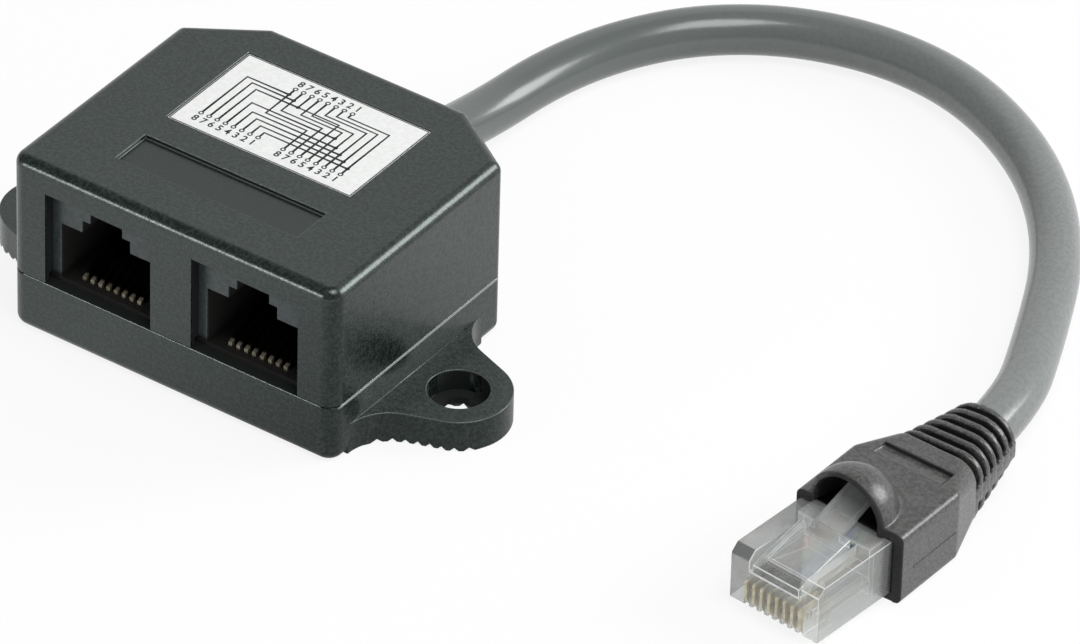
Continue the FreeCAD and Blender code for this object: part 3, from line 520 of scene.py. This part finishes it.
def addStudio():
    bpy.ops.mesh.primitive_plane_add(size=studio["floorSize"], location=(0, 0, studio["floorZ"]))
    floor = bpy.context.object
    floor.name = "floor"
    material, tree, shader = newMaterial("floorPaper")
    shader.inputs["Base Color"].default_value = (*studio["floor"], 1)
    shader.inputs["Roughness"].default_value = studio["floorRough"]
    glow = tree.nodes.new("ShaderNodeEmission")
    tree.links.new(addDim(tree), glow.inputs["Strength"])
    share = addMath(tree, "MULTIPLY", addSeenRays(tree), studio["floorGlow"])
    surface = addShaderMix(tree, share, shader.outputs["BSDF"], glow.outputs["Emission"])
    tree.links.new(surface, tree.nodes["Material Output"].inputs["Surface"])
    floor.data.materials.append(material)

    world = bpy.context.scene.world or bpy.data.worlds.new("sky")
    bpy.context.scene.world = world
    world.use_nodes = True
    tree = world.node_tree
    sky = tree.nodes["Background"]
    sky.inputs["Color"].default_value = (1, 1, 1, 1)
    sky.inputs["Strength"].default_value = studio["sky"]
    white = tree.nodes.new("ShaderNodeBackground")
    tree.links.new(addRoom(tree), white.inputs["Strength"])
    surface = addShaderMix(tree, addSeenRays(tree), sky.outputs["Background"],
                           white.outputs["Background"])
    tree.links.new(surface, tree.nodes["World Output"].inputs["Surface"])

    for name, (place, power, size) in studio["lamps"].items():
        addLamp(name, place, power, size)
    bpy.context.scene.view_settings.view_transform = "Standard"


# small helpers for pieces

def activate(piece):
    bpy.ops.object.select_all(action="DESELECT")
    piece.select_set(True)
    bpy.context.view_layer.objects.active = piece


def startEdit(piece):
    activate(piece)
    bpy.ops.object.mode_set(mode="EDIT")
    bpy.ops.mesh.select_all(action="SELECT")


def endEdit():
    bpy.ops.object.mode_set(mode="OBJECT")


def joinPieces(pieces, name):
    bpy.ops.object.select_all(action="DESELECT")
    for piece in pieces:
        piece.select_set(True)
    bpy.context.view_layer.objects.active = pieces[0]
    bpy.ops.object.join()
    pieces[0].name = name
    return pieces[0]


def placeMesh(piece, matrix):
    # the place goes into the mesh, the object stays at the origin
    piece.data.transform(matrix @ piece.matrix_world)
    piece.matrix_world = Matrix.Identity(4)


def applyModifier(piece, kind, **settings):
    activate(piece)
    bpy.ops.object.modifier_add(type=kind)
    modifier = piece.modifiers[-1]
    for name, setting in settings.items():
        setattr(modifier, name, setting)
    bpy.ops.object.modifier_apply(modifier=modifier.name)


def finish(piece, material, replaced=()):
    piece.data.materials.clear()
    piece.data.materials.append(material)
    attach(piece, "root")
    if replaced:
        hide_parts(*replaced)


cleaning = {"merge": 0.002 * mm, "flat": 0.6}


def copyNode(node, name):
    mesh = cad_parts[node].data.copy()
    piece = bpy.data.objects.new(name, mesh)
    bpy.context.collection.objects.link(piece)
    startEdit(piece)
    bpy.ops.mesh.remove_doubles(threshold=cleaning["merge"])
    bpy.ops.mesh.dissolve_limited(angle_limit=math.radians(cleaning["flat"]))
    endEdit()
    return piece


easing = {
    "segments": 2,
    "angle": 28,             # edges that turn less stay as they are
    "shortest": 2.2,         # in widths of the rounding
    "smooth": 38,
    "weight": 90,
}


def easeEdges(piece, width, sharp=()):
    # thin roundings that catch the light; edges among small faces and in sharp boxes stay sharp
    mesh = piece.data
    faces = {}
    for polygon in mesh.polygons:
        for key in polygon.edge_keys:
            faces.setdefault(key, []).append(polygon)
    fixed = set()
    for edge in mesh.edges:
        start, end = (mesh.vertices[v].co for v in edge.vertices)
        if (start - end).length < easing["shortest"] * width:
            fixed.update(edge.vertices)
    for low, high in sharp:
        fixed.update(v.index for v in mesh.vertices
                     if all(low[k] * mm < v.co[k] < high[k] * mm for k in range(3)))
    least = math.radians(easing["angle"])
    weights = mesh.attributes.new("bevel_weight_edge", "FLOAT", "EDGE")
    for edge in mesh.edges:
        beside = faces.get(edge.key, [])
        turned = len(beside) == 2 and beside[0].normal.angle(beside[1].normal, 0) > least
        if turned and not fixed.intersection(edge.vertices):
            weights.data[edge.index].value = 1
    while len(mesh.materials) < 2:
        mesh.materials.append(None)
    mesh.polygons.foreach_set("material_index", [0] * len(mesh.polygons))
    # the second material marks the new faces, and then the rim
    applyModifier(piece, "BEVEL", width=width, segments=easing["segments"],
                  limit_method="WEIGHT", use_clamp_overlap=False, material=1)
    rounded = [polygon.material_index for polygon in mesh.polygons]
    # the rim marks the rounded faces, where the housing and the plug get a painted highlight
    rim = mesh.attributes.new("rim", "FLOAT", "FACE")
    rim.data.foreach_set("value", [float(index) for index in rounded])
    mesh.polygons.foreach_set("material_index", [0] * len(mesh.polygons))
    activate(piece)
    bpy.ops.object.shade_smooth_by_angle(angle=math.radians(easing["smooth"]))
    applyModifier(piece, "WEIGHTED_NORMAL", keep_sharp=True, weight=easing["weight"])


# the cable, on the route of the CAD part

cable = {
    "diameter": 5.6 * mm,
    "length": 0.1797,
    "order": 3,
    "stepsAlong": 24,
    "stepsRound": 10,
    "route": [
        (0.0, 10.0, 7.0), (0.0, 24.0, 7.0), (-0.6, 39.1, 2.9), (0.6, 50.6, 2.85),
        (3.9, 59.9, 2.85), (9.6, 67.8, 2.85), (18.4, 73.7, 2.85), (29.6, 76.3, 2.85),
        (41.0, 74.5, 2.85), (53.4, 67.3, 2.85), (63.2, 56.0, 2.85), (69.9, 41.4, 2.9),
        (74.4, 30.2, 3.5), (75.292, 11.46, 4.3), (74.212, 1.518, 4.3),
    ],
}


def makeCable():
    data = bpy.data.curves.new("cableJacket", "CURVE")
    data.dimensions = "3D"
    spline = data.splines.new("NURBS")
    spline.points.add(len(cable["route"]) - 1)
    for point, place in zip(spline.points, cable["route"]):
        point.co = (*metres(place), 1)
    spline.order_u = cable["order"]
    spline.use_endpoint_u = True
    spline.resolution_u = cable["stepsAlong"]
    data.bevel_depth = cable["diameter"] / 2
    data.bevel_resolution = cable["stepsRound"]
    data.use_fill_caps = True
    jacket = bpy.data.objects.new("cableJacket", data)
    bpy.context.collection.objects.link(jacket)
    data.materials.append(makePlastic("cablePvc"))
    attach(jacket, "root")
    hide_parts("cable")
    return jacket


# the label's wiring diagram: rings, lines and plain numbers

diagram = {
    "top": 21.75,
    "thick": 0.02,
    "line": 0.29,
    "lineSteps": 2,
    "ring": 0.31,
    "ringWall": 0.15,
    "ringSides": 20,
    "ringHigh": 0.1,
    "dot": 0.26,
    "digit": 1.35,
    "digitHigh": 0.05,
    "digitBold": 0.03,
    "digitSteps": 4,
    "rear": {"ringY": 9.80, "digitY": 10.83,
             "x": (-4.05, -3.0, -1.92, -0.88, 0.17, 1.22, 2.30, 3.37)},
    "left": {"ringY": 0.42, "digitY": -0.67,
             "x": (-9.47, -8.42, -7.37, -6.30, -5.25, -4.17, -3.10, -2.05)},
    "right": {"ringY": 0.30, "digitY": -0.75,
              "x": (1.28, 2.33, 3.42, 4.47, 5.53, 6.58, 7.63, 8.70)},
    "level": (4.5, 5.8, 7.3, 6.4, 6.95, 7.85, 8.4, 9.0),
    "branch": (8.63, 8.03, 7.3, 5.1, 3.8, 3.05, 2.28, 1.53),
    "trunkInRear": 3,        # so many lines branch on the rear row's side
    "frame": (-11.68, 11.68, -2.18, 11.98),
    "frameLine": 0.14,
}


def layLine(points, wide=diagram["line"]):
    data = bpy.data.curves.new("line", "CURVE")
    data.dimensions = "3D"
    spline = data.splines.new("POLY")
    spline.points.add(len(points) - 1)
    for point, (x, y) in zip(spline.points, points):
        point.co = (x * mm, y * mm, diagram["top"] * mm, 1)
    data.bevel_depth = wide / 2 * mm
    data.bevel_resolution = diagram["lineSteps"]
    data.use_fill_caps = True
    line = bpy.data.objects.new("line", data)
    bpy.context.collection.objects.link(line)
    activate(line)
    bpy.ops.object.convert(target="MESH")
    return bpy.context.object


def layDot(x, y, radius, wall=0):
    bpy.ops.mesh.primitive_circle_add(vertices=diagram["ringSides"], radius=radius * mm,
                                      fill_type="NGON",
                                      location=(x * mm, y * mm, diagram["top"] * mm))
    ring = bpy.context.object
    startEdit(ring)
    if wall:
        bpy.ops.mesh.inset(thickness=wall * mm)
        bpy.ops.mesh.delete(type="FACE")
        bpy.ops.mesh.select_all(action="SELECT")
    rise = (0, 0, diagram["ringHigh"] * mm)
    bpy.ops.mesh.extrude_region_move(TRANSFORM_OT_translate={"value": rise})
    bpy.ops.mesh.select_all(action="SELECT")
    bpy.ops.mesh.normals_make_consistent(inside=False)
    endEdit()
    placeMesh(ring, Matrix.Identity(4))
    return ring


def layDigit(number, x, y):
    bpy.ops.object.text_add(location=(0, 0, 0))
    text = bpy.context.object.data
    text.body = str(number)
    text.size = diagram["digit"] * mm
    text.extrude = diagram["digitHigh"] * mm
    text.offset = diagram["digitBold"] * mm
    text.align_x = "CENTER"
    text.align_y = "CENTER"
    text.resolution_u = diagram["digitSteps"]
    bpy.ops.object.convert(target="MESH")
    digit = bpy.context.object
    placeMesh(digit, Matrix.Translation((x * mm, y * mm, diagram["top"] * mm)))
    return digit


def makeLabelPrint():
    parts = []
    for group in ("rear", "left", "right"):
        row = diagram[group]
        for number, x in zip(range(8, 0, -1), row["x"]):
            parts.append(layDot(x, row["ringY"], diagram["ring"], diagram["ringWall"]))
            parts.append(layDigit(number, x, row["digitY"]))
    rear, left, right = diagram["rear"], diagram["left"], diagram["right"]
    start = rear["ringY"] - diagram["ring"]
    leftEnd = left["ringY"] + diagram["ring"]
    rightEnd = right["ringY"] + diagram["ring"]
    for index, (level, branch) in enumerate(zip(diagram["level"], diagram["branch"])):
        rearX, leftX, rightX = rear["x"][index], left["x"][index], right["x"][index]
        parts.append(layLine([(rearX, start), (rearX, level), (rightX, level), (rightX, rightEnd)]))
        trunk = rearX if index < diagram["trunkInRear"] else rightX
        parts.append(layLine([(trunk, branch), (leftX, branch), (leftX, leftEnd)]))
        parts.append(layDot(trunk, branch, diagram["dot"]))
    west, east, south, north = diagram["frame"]
    corners = [(west, south), (east, south), (east, north), (west, north)]
    for start, end in zip(corners, corners[1:] + corners[:1]):
        parts.append(layLine([start, end], diagram["frameLine"]))
    ink = joinPieces(parts, "labelPrint")
    startEdit(ink)
    bpy.ops.transform.resize(value=(1, 1, diagram["thick"] / diagram["line"]),
                             center_override=(0, 0, diagram["top"] * mm))
    endEdit()
    finish(ink, makePlastic("printInk"))


# The boot: the moulded body with soft edges, a neck with a sunk panel, mould seams and the
# ribbed tail with its slot pips. A neck ring is its place along, width, low, high and corner.

boot = {
    "voxel": 0.152 * mm,
    "rounds": 3,
    "roundBy": 0.5,
    "skew": 3.5,
    "pivotY": 18.0,
    "plugPlace": (72.7, -12.4, 1.0),
    "plugTurn": -6.2,
    "jacketEnd": (0, 14.0, 3.3),
    "frontY": 11.1,
    "bodyEnd": 20.95,
    "neck": ((20.9, 13.6, -1.0, 7.7, 0.8), (25.9, 10.9, -0.9, 7.6, 2.5)),
    "panelSize": (8.8, 2.3, 1.2),
    "panelPlace": (0.0, 22.0, 7.95),
    "panelTilt": 9.0,
    "seamSize": (0.14, 7.4, 0.16),
    "seamPlace": (6.8, 16.9, 2.8),
    "seamEdge": 0.04,
    "pipSize": 0.24,
    "pipShape": (0.8, 1, 1.2),
    "pipZ": 1.25,
}

# the ribbed tail: upper and lower ribs take turns round a core and a flat spine

tail = {
    "start": 11.85,          # from the jacket's end to the neck
    "length": 9.9,
    "pitch": 1.64,
    "rib": 0.72,
    "firstGap": 0.86,
    "count": 6,
    "wide": (10.8, 7.9),
    "high": (8.3, 7.9),
    "corner": (2.3, 3.9),
    "core": {"along": 0.5, "deep": 2.2, "radius": 3.15},
    "spine": {"along": 0.6, "deep": 1.9, "high": 2.0, "inset": 0.12},
}


def bootMatrix(skewed=True):
    plug = Matrix.Translation(metres(boot["plugPlace"]))
    plug = plug @ Matrix.Rotation(math.radians(boot["plugTurn"]), 4, "Z")
    if not skewed:
        return plug
    pivot = Matrix.Translation((0, boot["pivotY"] * mm, 0))
    return plug @ pivot @ Matrix.Rotation(math.radians(boot["skew"]), 4, "Z") @ pivot.inverted()


def addBlock(size, place, tilt=0.0, edge=0.0):
    bpy.ops.mesh.primitive_cube_add(size=1, location=metres(place),
                                    rotation=(math.radians(tilt), 0, 0), scale=metres(size))
    block = bpy.context.object
    bpy.ops.object.transform_apply(location=False, rotation=False, scale=True)
    if edge:
        startEdit(block)
        bpy.ops.mesh.bevel(offset=edge * mm, segments=2)
        endEdit()
    placeMesh(block, bootMatrix())
    return block


def addRing(along, wide, low, high, corner):
    # a rounded rectangle across the boot
    bpy.ops.mesh.primitive_plane_add(size=1, location=(0, along * mm, (low + high) / 2 * mm),
                                     rotation=(math.pi / 2, 0, 0))
    ring = bpy.context.object
    bpy.ops.transform.resize(value=(wide * mm, 1, (high - low) * mm))
    bpy.ops.object.transform_apply(location=False, rotation=True, scale=True)
    startEdit(ring)
    bpy.ops.mesh.bevel(offset=corner * mm, segments=7, affect="VERTICES")
    bpy.ops.mesh.select_all(action="SELECT")
    bpy.ops.mesh.delete(type="ONLY_FACE")
    endEdit()
    return ring


def makeNeck():
    # the taper from the body to the tail, with the sunk panel on top
    neck = joinPieces([addRing(*ring) for ring in boot["neck"]], "neck")
    startEdit(neck)
    bpy.ops.mesh.bridge_edge_loops()
    bpy.ops.mesh.select_all(action="SELECT")
    bpy.ops.mesh.fill_holes(sides=0)
    bpy.ops.mesh.select_all(action="SELECT")
    bpy.ops.mesh.normals_make_consistent(inside=False)
    endEdit()
    placeMesh(neck, bootMatrix())
    cutter = addBlock(boot["panelSize"], boot["panelPlace"], tilt=-boot["panelTilt"])
    applyModifier(neck, "BOOLEAN", operation="DIFFERENCE", object=cutter, solver="EXACT")
    bpy.data.objects.remove(cutter)
    return neck


def cableStations():
    # points along the cable's own spline, from its end in the plug
    line = bpy.data.objects["cableJacket"].copy()
    line.data = line.data.copy()
    line.data.bevel_depth = 0
    mesh = bpy.data.meshes.new_from_object(line)
    points = [vertex.co.copy() for vertex in mesh.vertices]
    plugEnd = bootMatrix(skewed=False) @ Vector(metres(boot["jacketEnd"]))
    if (points[0] - plugEnd).length > (points[-1] - plugEnd).length:
        points.reverse()
    bpy.data.objects.remove(line)
    bpy.data.meshes.remove(mesh)
    return points


def stationMatrix(points, along):
    # a place on the tail's line, so many millimetres behind the neck
    left = (tail["start"] + along) * mm
    for start, end in zip(points, points[1:]):
        step = (end - start).length
        if left <= step:
            heading = (end - start).normalized()
            across = heading.cross(Vector((0, 0, 1))).normalized()
            turn = Matrix((across, heading, across.cross(heading))).transposed().to_4x4()
            return Matrix.Translation(start + heading * left) @ turn
        left -= step


def ribSize(along):
    share = along / tail["length"]
    return [tail[name][0] + (tail[name][1] - tail[name][0]) * share
            for name in ("wide", "high", "corner")]


def addRib(points, along, side):
    # half a rib, from the middle of the tail up (side 1) or down (side -1), outer edges rounded
    wide, high, corner = ribSize(along)
    thick = tail["rib"]
    bpy.ops.mesh.primitive_cube_add(size=1, location=(0, 0, side * high / 4 * mm),
                                    scale=(wide * mm, thick * mm, high / 2 * mm))
    rib = bpy.context.object
    bpy.ops.object.transform_apply(location=True, rotation=False, scale=True)
    bpy.ops.object.mode_set(mode="EDIT")
    bpy.ops.mesh.select_mode(type="EDGE")
    bpy.ops.mesh.select_all(action="DESELECT")
    endEdit()
    for edge in rib.data.edges:
        start, end = (rib.data.vertices[v].co for v in edge.vertices)
        edge.select = abs(start.y - end.y) > 0.5 * thick * mm and start.z * side > high / 4 * mm
    bpy.ops.object.mode_set(mode="EDIT")
    bpy.ops.mesh.bevel(offset=corner * mm, segments=9, affect="EDGES", clamp_overlap=True)
    endEdit()
    placeMesh(rib, stationMatrix(points, along))
    return rib


def addCore(points, along):
    core = tail["core"]
    bpy.ops.mesh.primitive_cylinder_add(vertices=40, radius=core["radius"] * mm,
                                        depth=core["deep"] * mm, rotation=(math.pi / 2, 0, 0))
    piece = bpy.context.object
    placeMesh(piece, stationMatrix(points, along + core["along"]))
    return piece


def addSpine(points, along):
    spine = tail["spine"]
    along += spine["along"]
    wide = ribSize(along)[0] - spine["inset"]
    bpy.ops.mesh.primitive_cube_add(size=1, scale=metres((wide, spine["deep"], spine["high"])))
    piece = bpy.context.object
    placeMesh(piece, stationMatrix(points, along))
    return piece


def addPip(points, along):
    bpy.ops.mesh.primitive_uv_sphere_add(segments=14, ring_count=8, radius=boot["pipSize"] * mm)
    pip = bpy.context.object
    startEdit(pip)
    bpy.ops.transform.resize(value=boot["pipShape"])
    endEdit()
    bpy.ops.object.shade_smooth()
    onSide = Matrix.Translation((ribSize(along)[0] / 2 * mm, 0, boot["pipZ"] * mm))
    placeMesh(pip, stationMatrix(points, along) @ onSide)
    return pip


def makeTail(points):
    parts = []
    for index in range(tail["count"]):
        along = index * tail["pitch"]
        upper = tail["firstGap"] + along + tail["rib"] / 2
        parts.append(addRib(points, upper, 1))
        parts.append(addRib(points, upper - tail["pitch"] / 2, -1))
        parts.append(addCore(points, along))
        parts.append(addSpine(points, along))
    parts.append(addRib(points, tail["length"] - tail["rib"] / 2, -1))
    return parts


def cutTail(body):
    # the CAD copy ends at the neck, and the ribbed tail is modelled anew
    plane = bootMatrix()
    startEdit(body)
    bpy.ops.mesh.bisect(plane_co=plane @ Vector((0, boot["bodyEnd"] * mm, 3 * mm)),
                        plane_no=plane.to_3x3() @ Vector((0, 1, 0)),
                        use_fill=True, clear_outer=True)
    endEdit()


# Where hardly any light reaches the boot, in its own millimetres: in the slots, under the hood,
# round the plug, behind and round the sunk panel, and on the front. A box is its two corners.

shadow = {
    "slots": {"first": 0.2, "step": 0.25, "reach": 0.3, "level": 0.955, "fade": 0.05,
              "round": 0.93},
    "hood": {"centre": (-0.2, 12.2, 7.2), "radius": 4.66, "fade": 0.12, "low": 6.6,
             "front": 11.3, "frontFade": 0.7},
    "seat": {"box": ((-6.0, 11.2, -0.2), (6.0, 20.0, 6.75)), "front": 11.2, "frontFade": 0.5},
    "wall": {"box": ((-4.4, 15.0, 6.8), (4.4, 30.0, 7.66)), "y": 23.12, "reach": 1.6,
             "fade": 0.14},
    "border": {"box": ((-4.5, 20.85, 7.0), (4.5, 23.1, 20.0)), "x": 4.42, "y": 20.93,
               "reach": 1.5, "fade": 0.12, "most": 0.6},
    "front": {"beyond": 0.26, "fade": 0.12, "most": 0.85},
}


def toFrame(places, matrix):
    inverse = np.array(matrix.inverted())
    return places @ inverse[:3, :3].T + inverse[:3, 3]


def within(local, box):
    low, high = box
    return np.all((local > low) & (local < high), axis=1)


def fadeIn(distance, width):
    return np.clip(distance / width, 0, 1)


def fadeOut(distance, rule):
    return np.clip(rule["reach"] - distance / rule["fade"], 0, 1)


def slotDepth(places, points):
    slots = shadow["slots"]
    steps = np.arange(slots["first"], tail["length"] + 0.01, slots["step"])
    frames = [stationMatrix(points, step) for step in steps]
    centres = np.array([list(one.translation) for one in frames])
    nearest = ((places[:, None, :] - centres[None, :, :]) ** 2).sum(axis=2).argmin(axis=1)
    depth = np.zeros(len(places))
    for index, (step, one) in enumerate(zip(steps, frames)):
        chosen = np.where(nearest == index)[0]
        local = toFrame(places[chosen], one)
        wide, high, corner = ribSize(step)
        across = np.abs(local[:, 0]) / (wide / 2 * mm)
        upward = np.abs(local[:, 2]) / (high / 2 * mm)
        level = np.maximum(np.maximum(across, upward), np.hypot(across, upward) * slots["round"])
        inTail = np.abs(local[:, 1]) < slots["reach"] * mm
        depth[chosen] = np.where(inTail, fadeIn(slots["level"] - level, slots["fade"]), 0)
    return depth


def plugDepth(places):
    # under the hood and round the plug, in the plug's frame
    hood, seat = shadow["hood"], shadow["seat"]
    local = toFrame(places, bootMatrix(skewed=False)) / mm
    x, y, z = (local - hood["centre"]).T
    arch = np.sqrt(x ** 2 + z ** 2 + np.maximum(y, 0) ** 2)
    y, z = local[:, 1], local[:, 2]
    under = fadeIn(hood["radius"] - arch, hood["fade"]) * (z > hood["low"])
    under *= fadeIn(y - hood["front"], hood["frontFade"])
    round_ = within(local, seat["box"]) * fadeIn(y - seat["front"], seat["frontFade"])
    return np.maximum(under, round_)


def neckDepth(places):
    # round the sunk panel and on the front, in the boot's skewed frame
    wall, border, front = shadow["wall"], shadow["border"], shadow["front"]
    local = toFrame(places, bootMatrix()) / mm
    x, y, z = local.T
    behind = fadeOut(np.abs(y - wall["y"]), wall) * within(local, wall["box"])
    edges = np.minimum(np.abs(y - border["y"]), np.abs(np.abs(x) - border["x"]))
    frame_ = border["most"] * fadeOut(edges, border) * within(local, border["box"])
    face = front["most"] * fadeIn(boot["frontY"] + front["beyond"] - y, front["fade"])
    return np.maximum(face, np.maximum(behind, frame_))


def paintDepth(body, points):
    places = np.empty(len(body.data.vertices) * 3)
    body.data.vertices.foreach_get("co", places)
    places = places.reshape(-1, 3)
    depth = np.maximum(slotDepth(places, points), plugDepth(places))
    depth = np.maximum(depth, neckDepth(places))
    attribute = body.data.attributes.new("depth", "FLOAT", "POINT")
    attribute.data.foreach_set("value", depth.astype(np.float32))


def makeBoot():
    points = cableStations()
    body = copyNode("boot", "bootBody")
    cutTail(body)
    body = joinPieces([body, makeNeck()] + makeTail(points), "bootBody")
    applyModifier(body, "REMESH", mode="VOXEL", voxel_size=boot["voxel"])
    applyModifier(body, "SMOOTH", factor=boot["roundBy"], iterations=boot["rounds"])
    activate(body)
    bpy.ops.object.shade_smooth()
    x, y, z = boot["seamPlace"]
    extras = [addBlock(boot["seamSize"], (side * x, y, z), edge=boot["seamEdge"])
              for side in (-1, 1)]
    extras += [addPip(points, tail["firstGap"] / 2 + index * tail["pitch"])
               for index in range(tail["count"])]
    body = joinPieces([body] + extras, "bootBody")
    paintDepth(body, points)
    finish(body, makePlastic("bootRubber"), ["boot"])
    return body


# Dressed copies of the CAD nodes that show most. The parting line and the screw holes of the
# housing keep their sharp edges.

rounding = {"shell": 0.10 * mm, "socket": 0.07 * mm, "plug": 0.09 * mm}
sharpBoxes = [
    ((-23, -19, 6.6), (23, 19, 7.4)),
    ((23, -6.5, -1), (30, 0.7, 3.3)),
    ((-30, -6.5, -1), (-23, 0.7, 3.3)),
]


def dressHousing():
    material = makePlastic("housingPlastic")
    for node, name in (("upper_shell", "upperShell"), ("lower_shell", "lowerShell")):
        piece = copyNode(node, name)
        easeEdges(piece, rounding["shell"], sharpBoxes)
        finish(piece, material, [node])


def dressSockets():
    material = makePlastic("socketPlastic")
    for side in ("left", "right"):
        piece = copyNode(side + "_socket_body", side + "Socket")
        easeEdges(piece, rounding["socket"])
        finish(piece, material, [side + "_socket_body"])


blades = {"foot": 1.45, "stretch": 2.35, "forward": 1.22, "drop": -0.22}


def makeBlades():
    # the contact blades show as tall bars through the clear front
    names = [f"plug_contact_{k}" for k in range(1, 9)]
    parts = []
    for name in names:
        part = copyNode(name, name + "Blade")
        rear = max(vertex.co.y for vertex in part.data.vertices)
        startEdit(part)
        bpy.ops.transform.resize(value=(1, blades["forward"], blades["stretch"]),
                                 center_override=(0, rear, blades["foot"] * mm))
        bpy.ops.transform.translate(value=(0, 0, blades["drop"] * mm))
        endEdit()
        parts.append(part)
    piece = joinPieces(parts, "plugBlades")
    finish(piece, makePlastic("bladeMetal"), names)
    return piece


refractionFaces = {"rail": 3.6, "wall": 5.5, "facing": 0.6, "left": 1.0, "right": 0.6}


def smokeFaces(piece):
    # painted refraction: the faces of the left rail and of the two side walls are greyer, for the
    # dark boot seen through them
    inverse = bootMatrix(skewed=False).inverted()
    turn = inverse.to_3x3()
    facing = refractionFaces["facing"]
    values = []
    for polygon in piece.data.polygons:
        x = (inverse @ polygon.center).x / mm
        normal = turn @ polygon.normal
        rail = x < -refractionFaces["rail"] and (normal.z > facing or normal.y < -facing)
        if rail or x < -refractionFaces["wall"] and normal.x < -facing:
            values.append(refractionFaces["left"])
        elif x > refractionFaces["wall"] and normal.x > facing:
            values.append(refractionFaces["right"])
        else:
            values.append(0.0)
    paintedRefraction = piece.data.attributes.new("paintedRefraction", "FLOAT", "FACE")
    paintedRefraction.data.foreach_set("value", values)


def dressPlug():
    piece = copyNode("plug_body", "plugShell")
    easeEdges(piece, rounding["plug"])
    smokeFaces(piece)
    finish(piece, makeClearPlastic(), ["plug_body"])
    return piece


def paint(names, material):
    for name in names:
        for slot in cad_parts[name].material_slots:
            slot.material = material


def paintNodes():
    # finishes of the CAD nodes that stay
    paint(["circuit_board"], makePlastic("boardLaminate"))
    paint(["cable_tie"], makePlastic("tieNylon"))
    paint(["label"], makePlastic("labelPaper"))
    springs = makeGold()
    for k, name in enumerate(leadColours, start=1):
        paint([f"left_socket_contact_{k}", f"right_socket_contact_{k}"], springs)
        paint([f"board_lead_{k}", f"plug_lead_{k}"], makeLeadMaterial(name))


addCamera()
addStudio()
print("camera and studio set")
jacket = makeCable()
print("cable laid")
bootPiece = makeBoot()
plugPiece = dressPlug()
makeBlades()
print("boot and plug made")
dressHousing()
dressSockets()
print("housing and sockets dressed")
makeLabelPrint()
print("label printed")
paintNodes()
print("finishes on")
